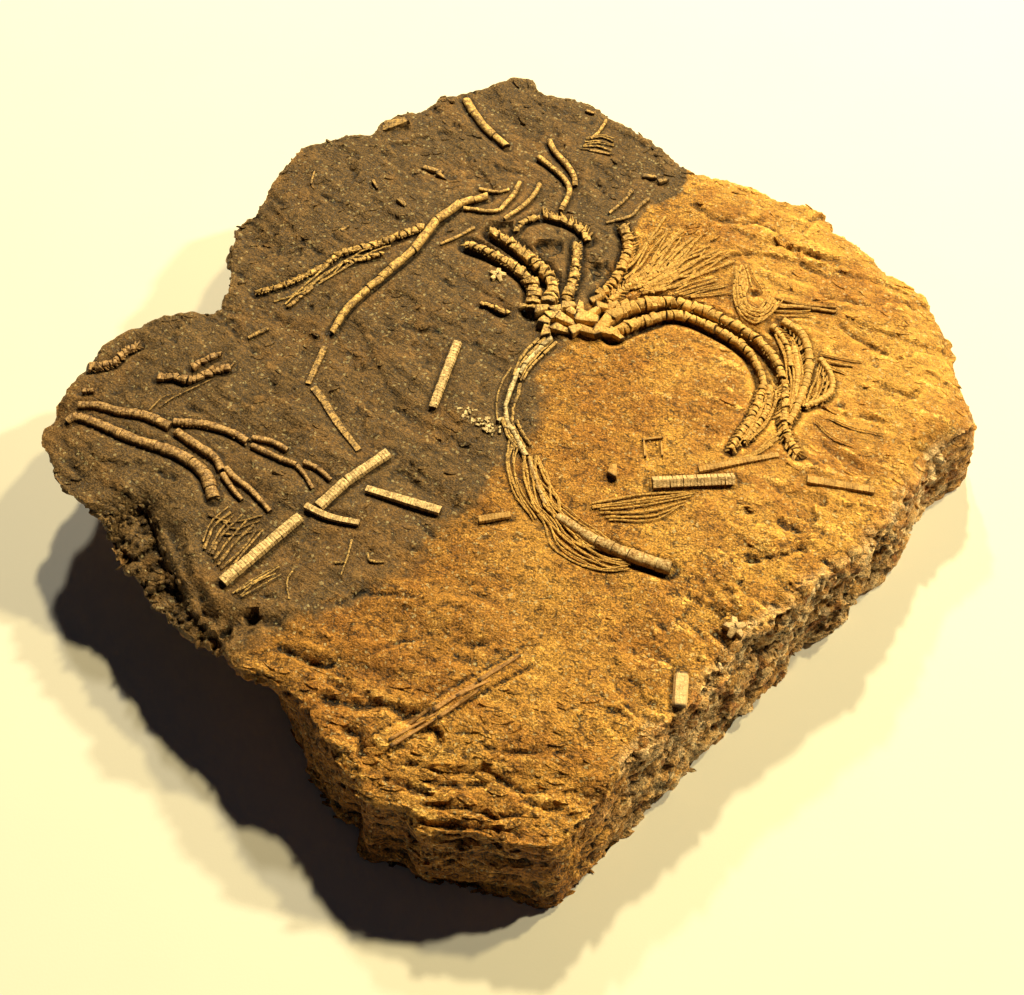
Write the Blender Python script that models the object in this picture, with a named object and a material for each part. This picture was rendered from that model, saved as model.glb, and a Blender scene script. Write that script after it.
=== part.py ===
"""Siltstone slab carrying an isocrinid crinoid and loose stem columns in relief.

The slab lies on its flat underside: metres, +Z up, origin on the underside, below the middle of its top.
Each crinoid piece is a solid of its own, bedded on the slab's top across a hairline gap.
"""

import math
from collections import namedtuple

import bmesh
import bpy
from mathutils import Vector
from mathutils.bvhtree import BVHTree

MM = 0.001

# Slab, in millimetres. The rim runs clockwise, seen from above, from the far point.
SLAB_HEIGHT = 44.0
RIM = (
    (-1, 166), (9, 164), (16, 158), (32, 152), (44, 142), (52, 135), (63, 125), (72, 115), (90, 106),
    (100, 105), (105, 99), (114, 98), (124, 93), (126, 84), (138, 77), (143, 69), (150, 63), (159, 55),
    (161, 45), (163, 36), (164, 20), (166, 11), (169, 3), (169, -4), (162, -9), (151, -17), (147, -23),
    (140, -34), (133, -45), (123, -52), (121, -58), (114, -64), (102, -71), (94, -80), (79, -89),
    (70, -99), (65, -104), (57, -116), (42, -125), (36, -132), (32, -138), (27, -145), (20, -153),
    (15, -159), (10, -160), (-5, -156), (-18, -155), (-28, -153), (-34, -147), (-46, -145), (-49, -133),
    (-54, -131), (-61, -123), (-68, -111), (-79, -104), (-90, -101), (-97, -94), (-105, -90),
    (-115, -81), (-122, -75), (-126, -66), (-136, -54), (-141, -47), (-152, -38), (-157, -35),
    (-163, -24), (-167, -12), (-165, -4), (-164, 7), (-159, 13), (-156, 22), (-149, 31), (-142, 36),
    (-132, 43), (-119, 45), (-112, 45), (-108, 56), (-110, 70), (-107, 87), (-99, 97), (-95, 109),
    (-85, 127), (-66, 134), (-57, 134), (-54, 142), (-39, 148), (-27, 157), (-12, 162),
)
# How far the foot stands in from the rim, by bearing in degrees from +X; below 0 it stands out.
UNDERCUT = (
    (-180, 34), (-165, 40), (-150, 40), (-136, 26), (-127, 4), (-120, -7), (-113, -8), (-106, -7),
    (-97, -5), (-88, -7), (-79, -8), (-72, -11), (-65, -6), (-57, -9), (-48, -9), (-39, -4), (-30, -5),
    (-20, -2), (-11, -5), (3, -5), (12, 0), (25, 8), (60, 7), (90, 9), (130, 14), (155, 22), (180, 34),
)
RIM_CHIP = 1.6
TOP_RINGS = (0.985, 0.95, 0.9, 0.85, 0.76, 0.66, 0.56, 0.45, 0.34, 0.22, 0.1)
# Each wall ring: height as a share of the rim's, then the share of the undercut it keeps, then bulge.
WALL_RINGS = ((0.0, 1.0, 0.0), (0.16, 0.93, 0.8), (0.42, 0.62, 1.6), (0.72, 0.25, 1.2))

# A step down near the rim, between two bearings.
LEDGE_RADIUS = 129.0
LEDGE_RUN = 5.0
LEDGE_DROP = 7.0
LEDGE_BEARINGS = (-166.0, -134.0)
LEDGE_FADE = 5.0
# The front of the top sinks towards its rim.
FRONT_START = -118.0
FRONT_END = -162.0
FRONT_DROP = 5.0
# The right of the top falls off near its rim, between the bearings where the fall starts and where it is whole.
SHOULDER_DROP = 5.0
SHOULDER_START = 0.90
SHOULDER_BEARINGS = ((-24.0, -8.0), (42.0, 24.0))
# The top's gentle swell: each wave's height, and the length that its angle is measured in.
LONG_SWELL = 0.9
LONG_SWELL_RUN = (41.0, 47.0)
SHORT_SWELL = 0.4
SHORT_SWELL_RUN = 27.0
# The walls' bulges: how many times they come and go round the slab.
BULGE_WAVES = (7, 3)
# Where the underside's triangles meet, clear of the resting mount.
UNDER_MIDDLE = (13.0, 6.0)

# Relief.
BED_GAP = 0.35
STATION = 3.8
CURVE_SAMPLES = 20
PLATE_INSET = 0.22
STAR_NOTCH = 0.22
SKY = 1.0
RELIEF_PROFILE = ((-1.0, 0.0), (-0.82, 0.6), (-0.34, 1.0), (0.34, 1.0), (0.82, 0.6), (1.0, 0.0))
STAR_LOBES = 5

BONE = (0.48, 0.31, 0.13)
PALE_BONE = (0.58, 0.39, 0.18)
ROCK = (0.28, 0.17, 0.06)

Strand = namedtuple("Strand", "name width tip relief route")
Star = namedtuple("Star", "name radius relief centre")

# Widths and relief are the piece's greatest width, its width at the far end, and its height.
CROWN = (
    Strand("arm_left_outer", 4.4, 2.4, 2.0,
           ((6.8, 43.2), (8.5, 49.5), (8.5, 55.5), (5, 60.5), (-6.5, 70), (-18, 75.5))),
    Strand("arm_left_inner", 4.8, 2.8, 2.2, ((14.2, 46), (15, 56.5), (12.5, 61.5), (2.5, 73), (-8.5, 82))),
    Strand("arm_back_middle", 3.8, 2.4, 1.8, ((19.8, 48.5), (21.5, 52), (24, 62), (25, 75.5))),
    Strand("arm_back_bow", 2.8, 2.0, 1.6, ((29.5, 78), (26.5, 82.5), (21, 86.5), (13.5, 89.5))),
    Strand("arm_back_hook", 2.6, 2.0, 1.5, ((10.2, 88.5), (4.5, 86.5), (1.5, 82))),
    Strand("arm_back_right", 3.4, 3.8, 1.8, ((32.5, 51.5), (39.5, 61.5), (44.5, 76.5), (43.5, 83.5))),
    Strand("arm_pinnulate", 2.6, 1.8, 1.1, ((36.5, 48.5), (40.5, 54), (46, 58), (55, 63), (63.5, 66.5))),
    Strand(
        "arm_sweep_outer", 5.0, 2.8, 2.4,
        ((26.6, 38), (33, 38.4), (44, 44), (55.5, 47.5), (67.5, 45), (80.5, 37.8), (90, 30.5), (98.2, 16.5)),
    ),
    Strand(
        "arm_sweep_inner", 4.0, 2.8, 2.1,
        ((23.2, 30.2), (33, 30.5), (39.5, 31.5), (45.5, 36.5), (58, 41.2), (67, 39.2), (79, 32), (87.5, 23.5),
         (90.8, 12)),
    ),
    Strand("arm_fork_inner", 2.7, 2.2, 1.6, ((89.2, 10.6), (87.5, 2.5), (85.5, -3), (81.5, -9), (76.5, -18))),
    Strand("arm_fork_outer", 2.7, 2.2, 1.5, ((93, 10.6), (91.8, 1.5), (89.5, -3.5), (84.2, -11))),
    Strand("arm_third_sweep", 2.4, 2.0, 1.2, ((97, 35.5), (99.5, 30.5), (101.2, 25.5), (101.8, 19.5))),
    Strand(
        "arm_curl_inner", 2.9, 2.2, 1.6,
        ((102, 37.8), (106.4, 33.6), (108.6, 27), (108.4, 19), (106.4, 11), (102.2, 0.8)),
    ),
    Strand("arm_curl_outer", 2.3, 1.8, 1.2, ((113.8, 20.5), (116, 14), (116, 9.5), (113.5, 5), (107.6, 0.8))),
    Strand("arm_tail", 2.6, 2.4, 1.4, ((99.6, 11.8), (98, 1.5), (96.5, -6), (96, -12))),
)
STEM = (
    Strand("stem_top", 5.0, 3.0, 1.6, ((13.2, 27.2), (9, 24), (4.8, 18.5))),
    Strand("stem_middle", 2.8, 2.2, 1.2, ((3.9, 17), (0.6, 11), (-0.5, 7), (-2, 0))),
    Strand("stem_lower", 2.2, 2.6, 1.0, ((-2.1, -1), (-2, -6), (0.5, -10.5), (4.5, -20.5))),
    Strand("stem_cirri_bundle", 4.0, 7.0, 0.8, ((6.2, -22.5), (8.5, -31), (11.5, -40))),
    Strand("stem_column_upper", 4.4, 4.4, 2.0, ((15.6, -44.4), (28, -54))),
    Strand("stem_column_middle", 4.4, 4.4, 2.1, ((29, -54.6), (38.4, -59.3))),
    Strand("stem_column_end", 4.6, 4.6, 2.3, ((39.4, -59.8), (53, -65))),
)
SIDE_CROWN = (
    Strand(
        "side_arm_lower", 3.8, 4.8, 2.0,
        ((-157, -4.2), (-149, -6), (-134, -13), (-118, -19), (-108, -27), (-103.5, -37)),
    ),
    Strand("side_arm_trunk", 3.2, 3.8, 1.8, ((-154.5, 0.8), (-140.5, -1.5), (-130, -3.5), (-123.4, -6.6))),
    Strand("side_fork_lower", 3.4, 2.8, 1.7, ((-120, -10), (-111.5, -15.5), (-104.5, -20.5), (-101.5, -25))),
    Strand("side_fork_lower_right", 2.6, 2.0, 1.3, ((-97, -28), (-90.5, -34), (-83, -42.5))),
    Strand("side_fork_upper", 3.0, 2.8, 1.6, ((-119.2, -5.8), (-109, -7), (-99, -10.5), (-95, -12.6))),
    Strand("side_twig_lower", 2.4, 2.2, 1.3, ((-91.5, -16.6), (-81.5, -21), (-76.2, -23.4))),
    Strand("side_twig_lower_right", 2.0, 1.8, 1.0, ((-72.6, -22.9), (-67.5, -25.5), (-63.8, -29))),
    Strand("side_twig_upper", 2.4, 2.0, 1.3, ((-91.5, -12.2), (-85, -14), (-79, -17.5))),
    Strand("edge_arm", 3.4, 2.6, 1.6, ((-153, 17.5), (-145.5, 19.5), (-142, 24.5), (-138.5, 27))),
    Strand("edge_piece_lower", 3.4, 2.8, 1.7, ((-128.5, 13), (-117, 12), (-109, 15.5), (-103.5, 18))),
    Strand("edge_piece_upper", 3.0, 2.6, 1.6, ((-116, 18.5), (-112, 22), (-106.5, 24.5))),
)
BACK_PIECES = (
    Strand("jointed_stem_1", 3.3, 3.3, 1.7, ((-10, 99.4), (-19.4, 96))),
    Strand("jointed_stem_2", 3.3, 3.3, 1.7, ((-20.6, 95.2), (-28.8, 87.4))),
    Strand("jointed_stem_3", 3.3, 3.3, 1.7, ((-29.6, 86.2), (-37.2, 73))),
    Strand("jointed_stem_4", 3.2, 3.2, 1.6, ((-38.2, 71.8), (-53.6, 54.4))),
    Strand("jointed_stem_5", 3.2, 2.6, 1.5, ((-54.6, 53.2), (-61.5, 45), (-66.5, 34.5))),
    Strand(
        "knobbly_arm", 3.0, 1.6, 1.4,
        ((-38, 81.6), (-53, 75), (-65.5, 71), (-71, 65.5), (-84.5, 57), (-96.5, 52.5)),
    ),
    Strand("back_bar", 3.8, 3.0, 1.4, ((-18.5, 151), (-13.5, 141), (-2, 127))),
    Strand("back_arm_right", 2.4, 2.4, 1.2, ((15, 130), (21.5, 117.5), (25, 105.5))),
    Strand("back_arm_left", 2.2, 2.2, 1.2, ((10.5, 121), (18.8, 112), (21.8, 102), (19, 92.8))),
    Strand("back_twig_left", 2.0, 1.8, 1.1, ((3, 107.5), (-2.5, 96), (-6.5, 91.8), (-13, 90.4))),
    Strand("back_twig_middle", 2.0, 1.8, 1.1, ((11, 106.5), (8.5, 100.5), (4, 94.5), (-2, 89))),
)
LOOSE_COLUMNS = (
    Strand("long_column_upper", 4.3, 4.3, 1.8, ((-43.5, -19), (-57, -30.2))),
    Strand("long_column_middle", 4.3, 4.3, 1.8, ((-57.9, -30.9), (-65.6, -39.2))),
    Strand("long_column_lower", 4.3, 4.5, 1.8, ((-74, -46), (-96.5, -70))),
    Strand("crossing_column", 2.9, 2.6, 1.4, ((-70.6, -41), (-62.5, -45), (-52, -47.5))),
    Strand("flared_column", 3.2, 3.9, 1.3, ((-50.5, -33.5), (-24.5, -42.5))),
    Strand("upright_column", 3.6, 3.4, 1.5, ((-20, 28.5), (-28.5, 0.5))),
    Strand("ridged_column", 4.6, 4.6, 2.2, ((48.5, -32), (77, -30.5))),
    Strand("low_column", 4.0, 3.6, 1.1, ((102.5, -30), (125.5, -34))),
    Strand("short_column", 5.2, 4.8, 2.0, ((54.5, -102.5), (53.5, -113.5))),
)
STARS = (Star("star_ossicle", 3.4, 1.2, (73, -86.5)),)

# The cup's plates, each an outline in millimetres.
CUP_RELIEF = 2.8
CUP_PLATES = {
    "cup_plate_left": ((9, 40.5), (8.2, 36), (11, 31.6), (15, 30.6), (16.2, 36), (14.6, 41.5)),
    "cup_plate_middle": ((16.4, 43.6), (17.2, 36), (16.2, 31), (20.6, 31.8), (21.8, 38), (20.8, 44.4)),
    "cup_plate_right": ((22.8, 42), (22.4, 36), (22, 33.4), (25.4, 34.2), (25.2, 41)),
}


def bearing_of(x, y):
    """The bearing of a place, in degrees from +X."""
    return math.degrees(math.atan2(y, x))


def smooth_step(value):
    """Rises smoothly from 0 to 1 as the value does."""
    held = min(max(value, 0.0), 1.0)
    return held * held * (3 - 2 * held)


def undercut_at(bearing):
    """How far the foot stands in at a bearing, in millimetres."""
    for (start, low), (end, high) in zip(UNDERCUT, UNDERCUT[1:]):
        if start <= bearing <= end:
            return low + (high - low) * (bearing - start) / (end - start)
    return UNDERCUT[0][1]


def ledge_drop(x, y):
    """How far the ledge lies below the top at a place, in millimetres."""
    bearing = bearing_of(x, y)
    low, high = LEDGE_BEARINGS
    across = smooth_step((bearing - low) / LEDGE_FADE) * smooth_step((high - bearing) / LEDGE_FADE)
    return LEDGE_DROP * across * smooth_step((math.hypot(x, y) - LEDGE_RADIUS) / LEDGE_RUN)


def shoulder_drop(x, y, share):
    """How far the right shoulder lies below the top, at a share of the way out to the rim."""
    bearing = bearing_of(x, y)
    (low, low_whole), (high, high_whole) = SHOULDER_BEARINGS
    across = smooth_step((bearing - low) / (low_whole - low)) * smooth_step((bearing - high) / (high_whole - high))
    return SHOULDER_DROP * across * smooth_step((share - SHOULDER_START) / (1 - SHOULDER_START))


def top_height(x, y):
    """The slab's top at a place, all in millimetres: a gentle swell, the ledge and the sunk front."""
    swell = LONG_SWELL * math.sin(x / LONG_SWELL_RUN[0] + 0.6) * math.cos(y / LONG_SWELL_RUN[1])
    swell += SHORT_SWELL * math.sin((x + y) / SHORT_SWELL_RUN)
    front = FRONT_DROP * smooth_step((y - FRONT_START) / (FRONT_END - FRONT_START))
    return SLAB_HEIGHT + swell - front - ledge_drop(x, y)


def rim_height(x, y):
    """The height of the rim at a place on it, in millimetres."""
    return top_height(x, y) - RIM_CHIP - shoulder_drop(x, y, 1.0)


def wall_point(rim, share, kept, bulge):
    """A point of a wall ring: the rim's bearing, the ring's height, and its stand-in from the rim."""
    x, y = rim
    radius = math.hypot(x, y)
    bearing = bearing_of(x, y)
    many, few = (math.radians(bearing * waves) for waves in BULGE_WAVES)
    ripple = bulge * math.sin(many) * math.cos(few + 0.7)
    reach = radius - kept * undercut_at(bearing) - abs(ripple)
    height = share * rim_height(x, y)
    return Vector((x * reach / radius, y * reach / radius, height)) * MM


def slab_rings():
    """Rings of points from the foot, up the wall, over the rim and in across the top."""
    for share, kept, bulge in WALL_RINGS:
        yield [wall_point(rim, share, kept, bulge) for rim in RIM]
    yield [Vector((x, y, rim_height(x, y))) * MM for x, y in RIM]
    for share in TOP_RINGS:
        inner = [(x * share, y * share) for x, y in RIM]
        yield [Vector((x, y, top_height(x, y) - shoulder_drop(x, y, share))) * MM for x, y in inner]


def slab_mesh():
    """The slab: its rings joined by walls, closed by a fan below and a fan on top."""
    shape = bmesh.new()
    rings = [[shape.verts.new(point) for point in ring] for ring in slab_rings()]
    for lower, upper in zip(rings, rings[1:]):
        for i in range(len(RIM)):
            j = (i + 1) % len(RIM)
            shape.faces.new((lower[j], lower[i], upper[i], upper[j]))
    under = shape.verts.new(Vector((*UNDER_MIDDLE, 0)) * MM)
    crest = shape.verts.new((0, 0, top_height(0, 0) * MM))
    for i in range(len(RIM)):
        j = (i + 1) % len(RIM)
        shape.faces.new((under, rings[0][i], rings[0][j]))
        shape.faces.new((crest, rings[-1][j], rings[-1][i]))
    bmesh.ops.triangulate(shape, faces=shape.faces[:])
    bmesh.ops.recalc_face_normals(shape, faces=shape.faces[:])
    return shape


def smooth_route(points):
    """A Catmull-Rom curve through the points, cut into stations of even length."""
    if len(points) == 2:
        dense = [Vector(points[0]).lerp(Vector(points[1]), i / CURVE_SAMPLES) for i in range(CURVE_SAMPLES + 1)]
    else:
        ends = [2 * Vector(points[0]) - Vector(points[1]), 2 * Vector(points[-1]) - Vector(points[-2])]
        knots = [ends[0], *map(Vector, points), ends[1]]
        dense = []
        for a, b, c, d in zip(knots, knots[1:], knots[2:], knots[3:]):
            for i in range(CURVE_SAMPLES):
                t = i / CURVE_SAMPLES
                dense.append(
                    0.5 * (2 * b + (c - a) * t + (2 * a - 5 * b + 4 * c - d) * t * t
                           + (3 * b - a - 3 * c + d) * t ** 3)
                )
        dense.append(knots[-2])
    length = sum((q - p).length for p, q in zip(dense, dense[1:]))
    count = max(2, round(length / STATION))
    stations, travelled, target = [dense[0]], 0.0, 1
    for p, q in zip(dense, dense[1:]):
        step = (q - p).length
        while target < count and travelled + step >= length * target / count:
            stations.append(p.lerp(q, (length * target / count - travelled) / step))
            target += 1
        travelled += step
    return [*stations, dense[-1]]


def bed_height(bed, x, y):
    """The top of the slab at a place, in millimetres, read from its own faces."""
    hit = bed.ray_cast(Vector((x * MM, y * MM, SKY)), Vector((0, 0, -1)))[0]
    return hit.z / MM


def strand_mesh(strand, bed):
    """A domed strand with a flat underside, laid along its route on the slab."""
    shape = bmesh.new()
    stations = smooth_route(strand.route)
    rings = []
    for i, here in enumerate(stations):
        ahead = stations[min(i + 1, len(stations) - 1)] - stations[max(i - 1, 0)]
        side = Vector((-ahead.y, ahead.x)).normalized()
        share = i / (len(stations) - 1)
        half = 0.5 * (strand.width + (strand.tip - strand.width) * share)
        height = strand.relief * half * 2 / max(strand.width, strand.tip)
        ring = []
        for across, up in RELIEF_PROFILE:
            x, y = here + side * half * across
            z = bed_height(bed, x, y) + BED_GAP + up * height
            ring.append(shape.verts.new(Vector((x, y, z)) * MM))
        rings.append(ring)
    size = len(RELIEF_PROFILE)
    for near, far in zip(rings, rings[1:]):
        for i in range(size):
            j = (i + 1) % size
            shape.faces.new((near[i], near[j], far[j], far[i]))
    shape.faces.new(rings[0])
    shape.faces.new(rings[-1])
    bmesh.ops.triangulate(shape, faces=shape.faces[:])
    bmesh.ops.recalc_face_normals(shape, faces=shape.faces[:])
    return shape


def raised_plate(outline, relief, bed):
    """A plate standing on the slab: the outline below, drawn in a little at its top."""
    shape = bmesh.new()
    middle = sum((Vector(point) for point in outline), Vector((0, 0))) / len(outline)
    lower, upper = [], []
    for point in outline:
        x, y = point
        foot = bed_height(bed, x, y) + BED_GAP
        lower.append(shape.verts.new(Vector((x, y, foot)) * MM))
        x, y = Vector(point).lerp(middle, PLATE_INSET)
        upper.append(shape.verts.new(Vector((x, y, foot + relief)) * MM))
    count = len(outline)
    for i in range(count):
        j = (i + 1) % count
        shape.faces.new((lower[i], lower[j], upper[j], upper[i]))
    shape.faces.new(lower)
    shape.faces.new(upper)
    bmesh.ops.triangulate(shape, faces=shape.faces[:])
    bmesh.ops.recalc_face_normals(shape, faces=shape.faces[:])
    return shape


def star_outline(star):
    """Rounded petals round a centre, with notches between them."""
    points = []
    for i in range(STAR_LOBES * 4):
        turn = 2 * math.pi * i / (STAR_LOBES * 4)
        reach = star.radius * (1 - STAR_NOTCH + STAR_NOTCH * math.cos(STAR_LOBES * turn))
        points.append((star.centre[0] + reach * math.cos(turn), star.centre[1] + reach * math.sin(turn)))
    return points


def finish(name, colour, roughness):
    """A plain material."""
    material = bpy.data.materials.new(name)
    material.use_nodes = True
    shader = material.node_tree.nodes["Principled BSDF"]
    shader.inputs["Base Color"].default_value = (*colour, 1)
    shader.inputs["Roughness"].default_value = roughness
    shader.inputs["Metallic"].default_value = 0
    return material


def add_object(name, shape, colour, roughness):
    """Puts a shape in the scene as an object with a material of its own."""
    mesh = bpy.data.meshes.new(name)
    shape.to_mesh(mesh)
    shape.free()
    mesh.materials.append(finish(name, colour, roughness))
    piece = bpy.data.objects.new(name, mesh)
    bpy.context.scene.collection.objects.link(piece)
    return piece


def clear_scene():
    """Removes what a new file holds."""
    for old in list(bpy.data.objects):
        bpy.data.objects.remove(old, do_unlink=True)


def build():
    """Makes the slab, then everything that lies on it."""
    clear_scene()
    slab = slab_mesh()
    bed = BVHTree.FromBMesh(slab)
    add_object("matrix_slab", slab, ROCK, 0.85)
    for strand in CROWN + STEM + SIDE_CROWN + BACK_PIECES:
        add_object(strand.name, strand_mesh(strand, bed), BONE, 0.6)
    for strand in LOOSE_COLUMNS:
        add_object(strand.name, strand_mesh(strand, bed), PALE_BONE, 0.6)
    for name, outline in CUP_PLATES.items():
        add_object(name, raised_plate(outline, CUP_RELIEF, bed), BONE, 0.6)
    for star in STARS:
        add_object(star.name, raised_plate(star_outline(star), star.relief, bed), PALE_BONE, 0.6)


build()
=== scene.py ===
"""A broken siltstone slab with a sea lily, loose stem columns and their fibres in relief on its top."""

import logging
import math
from dataclasses import dataclass, field
from enum import Enum
from typing import Any, Callable, Iterable, Sequence

import bpy
import numpy as np
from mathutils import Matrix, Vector


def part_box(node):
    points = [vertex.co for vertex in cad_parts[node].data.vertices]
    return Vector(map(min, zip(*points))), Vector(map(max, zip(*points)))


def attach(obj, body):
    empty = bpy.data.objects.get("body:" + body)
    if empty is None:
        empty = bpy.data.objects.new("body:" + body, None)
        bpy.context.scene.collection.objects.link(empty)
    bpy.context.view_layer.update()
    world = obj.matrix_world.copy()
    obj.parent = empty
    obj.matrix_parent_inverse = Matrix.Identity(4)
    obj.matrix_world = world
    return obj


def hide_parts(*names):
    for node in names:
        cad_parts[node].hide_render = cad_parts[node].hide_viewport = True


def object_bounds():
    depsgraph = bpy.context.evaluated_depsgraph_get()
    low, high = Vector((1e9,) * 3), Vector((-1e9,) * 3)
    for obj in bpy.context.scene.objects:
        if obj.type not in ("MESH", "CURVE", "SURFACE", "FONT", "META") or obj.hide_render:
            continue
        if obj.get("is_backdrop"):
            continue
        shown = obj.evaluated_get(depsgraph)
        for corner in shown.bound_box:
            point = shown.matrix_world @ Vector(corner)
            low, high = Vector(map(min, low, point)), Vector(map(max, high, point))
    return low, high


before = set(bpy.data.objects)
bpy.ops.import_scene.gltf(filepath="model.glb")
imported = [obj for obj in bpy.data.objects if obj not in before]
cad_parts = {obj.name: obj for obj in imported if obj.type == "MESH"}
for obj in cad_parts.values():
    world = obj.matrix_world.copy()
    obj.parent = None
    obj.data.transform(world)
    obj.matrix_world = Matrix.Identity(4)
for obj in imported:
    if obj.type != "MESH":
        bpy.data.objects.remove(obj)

LOG = logging.getLogger("slab")
MM = 0.001
BODY = "root"
Point = tuple[float, float]
Colour = tuple[float, float, float]
Route = tuple[Point, ...]


# --------------------------------------------------------------------------- numbers over many points


def smooth_step(value: Any, low: float = 0.0, high: float = 1.0) -> np.ndarray:
    """Rises smoothly from 0 at low to 1 at high.

    Args:
        value: The numbers to map.
        low: Where the rise starts.
        high: Where it ends, which may lie below low for a fall.

    Returns:
        The mapped numbers, from 0 to 1.
    """
    held = np.clip((np.asarray(value, float) - low) / (high - low), 0.0, 1.0)
    return held * held * (3 - 2 * held)


class Noise:
    """Seeded gradient noise and cell patterns, worked out for many points at once."""

    def __init__(self, seed: int) -> None:
        """Makes the tables that the patterns read."""
        draws = np.random.default_rng(seed)
        self.order = np.concatenate([draws.permutation(256)] * 2)
        slopes = draws.normal(size=(256, 3))
        self.slopes = slopes / np.linalg.norm(slopes, axis=1, keepdims=True)
        self.shares = draws.random((256, 3))

    def _row(self, cell: np.ndarray) -> np.ndarray:
        """The table row of each lattice corner."""
        first = self.order[cell[:, 0] & 255]
        second = self.order[(first + cell[:, 1]) & 255]
        return self.order[(second + cell[:, 2]) & 255]

    def smooth(self, points: np.ndarray) -> np.ndarray:
        """One octave, about -1 to 1, with features about one unit across.

        Args:
            points: An array of N by 3 places.

        Returns:
            N numbers.
        """
        cell = np.floor(points).astype(np.int64)
        part = points - cell
        ease = part * part * part * (part * (part * 6 - 15) + 10)
        total = np.zeros(len(points))
        for corner in np.ndindex(2, 2, 2):
            step = np.array(corner)
            weight = np.prod(np.where(step == 1, ease, 1 - ease), axis=1)
            total += weight * np.einsum("ij,ij->i", self.slopes[self._row(cell + step)], part - step)
        return total * 1.6

    def layered(
        self, points: np.ndarray, size: float = 1.0, octaves: int = 4, gain: float = 0.5,
    ) -> np.ndarray:
        """Several octaves added, each half as wide as the last.

        Args:
            points: An array of N by 3 places.
            size: How wide the widest features are, in the places' unit.
            octaves: How many are added.
            gain: How strong each is beside the last.

        Returns:
            N numbers, about -1 to 1.
        """
        total, weight, whole = np.zeros(len(points)), 1.0, 0.0
        for octave in range(octaves):
            total += weight * self.smooth(points * (2 ** octave / size) + 17.3 * octave)
            whole += weight
            weight *= gain
        return total / whole

    def cells(self, points: np.ndarray, size: float) -> tuple[np.ndarray, np.ndarray]:
        """Broken cells, as in cracked stone.

        Args:
            points: An array of N by 3 places.
            size: How wide a cell is.

        Returns:
            Each place's distance to its cell's border as a share of size, and its cell's own number.
        """
        spots = points / size
        cell = np.floor(spots).astype(np.int64)
        first = np.full(len(points), 9.0)
        second = first.copy()
        own = np.zeros(len(points))
        for corner in np.ndindex(3, 3, 3):
            near = cell + np.array(corner) - 1
            row = self._row(near)
            gap = np.linalg.norm(near + self.shares[row] - spots, axis=1)
            closer = gap < first
            second = np.where(closer, first, np.minimum(second, gap))
            own = np.where(closer, self.shares[row, 0], own)
            first = np.where(closer, gap, first)
        return second - first, own

    def streaks(
        self, points: np.ndarray, bearing: float, along: float, across: float, octaves: int = 4,
    ) -> np.ndarray:
        """Noise drawn out along one bearing, in degrees from +X."""
        turn = math.radians(bearing)
        x, y, z = points.T
        ahead = (x * math.cos(turn) + y * math.sin(turn)) / along
        aside = (y * math.cos(turn) - x * math.sin(turn)) / across
        return self.layered(np.stack([ahead, aside, z / across], axis=1), 1.0, octaves)


def terraced(height: np.ndarray, step: float, sharpness: float = 0.8) -> np.ndarray:
    """Turns slopes into steps, as flaking shale has.

    Args:
        height: The heights.
        step: How high a step is.
        sharpness: 0 keeps the slope, and 1 makes each riser upright.

    Returns:
        The stepped heights.
    """
    level = np.floor(height / step)
    edge = 0.5 * (1 - sharpness)
    return (level + smooth_step(height / step - level, 0.5 - edge, 0.5 + edge)) * step


def line_gap(places: np.ndarray, line: Sequence[Point]) -> tuple[np.ndarray, np.ndarray, np.ndarray]:
    """How far places lie from a line of straight runs.

    Args:
        places: N by 2 places.
        line: The line's points.

    Returns:
        The distance, the side (1 to the left of its run, -1 to the right) and the share of the line passed.
    """
    points = np.asarray(line, float)
    runs = np.linalg.norm(np.diff(points, axis=0), axis=1)
    whole, passed = runs.sum(), 0.0
    best = np.full(len(places), 1e9)
    side = np.ones(len(places))
    share = np.zeros(len(places))
    for start, end, run in zip(points, points[1:], runs):
        way = (end - start) / run
        rel = places - start
        ahead = np.clip(rel @ way, 0.0, run)
        gap = np.hypot(rel[:, 0] - ahead * way[0], rel[:, 1] - ahead * way[1])
        closer = gap < best
        best = np.where(closer, gap, best)
        side = np.where(closer, np.sign(way[0] * rel[:, 1] - way[1] * rel[:, 0]), side)
        share = np.where(closer, (passed + ahead) / whole, share)
        passed += run
    return best, side, share


def smooth_route(route: Sequence[Point], samples: int = 20) -> np.ndarray:
    """A Catmull-Rom curve through a route's points, as many short runs."""
    points = np.asarray(route, float)
    if len(points) == 2:
        return points[0] + (points[1] - points[0]) * np.linspace(0, 1, 2 * samples)[:, None]
    knots = np.vstack([2 * points[0] - points[1], points, 2 * points[-1] - points[-2]])
    t = np.arange(samples)[:, None] / samples
    runs = [
        0.5 * (2 * b + (c - a) * t + (2 * a - 5 * b + 4 * c - d) * t ** 2 + (3 * b - a - 3 * c + d) * t ** 3)
        for a, b, c, d in zip(knots, knots[1:], knots[2:], knots[3:])
    ]
    return np.vstack([*runs, points[-1:]])


# --------------------------------------------------------------------------- shader graphs


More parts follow.
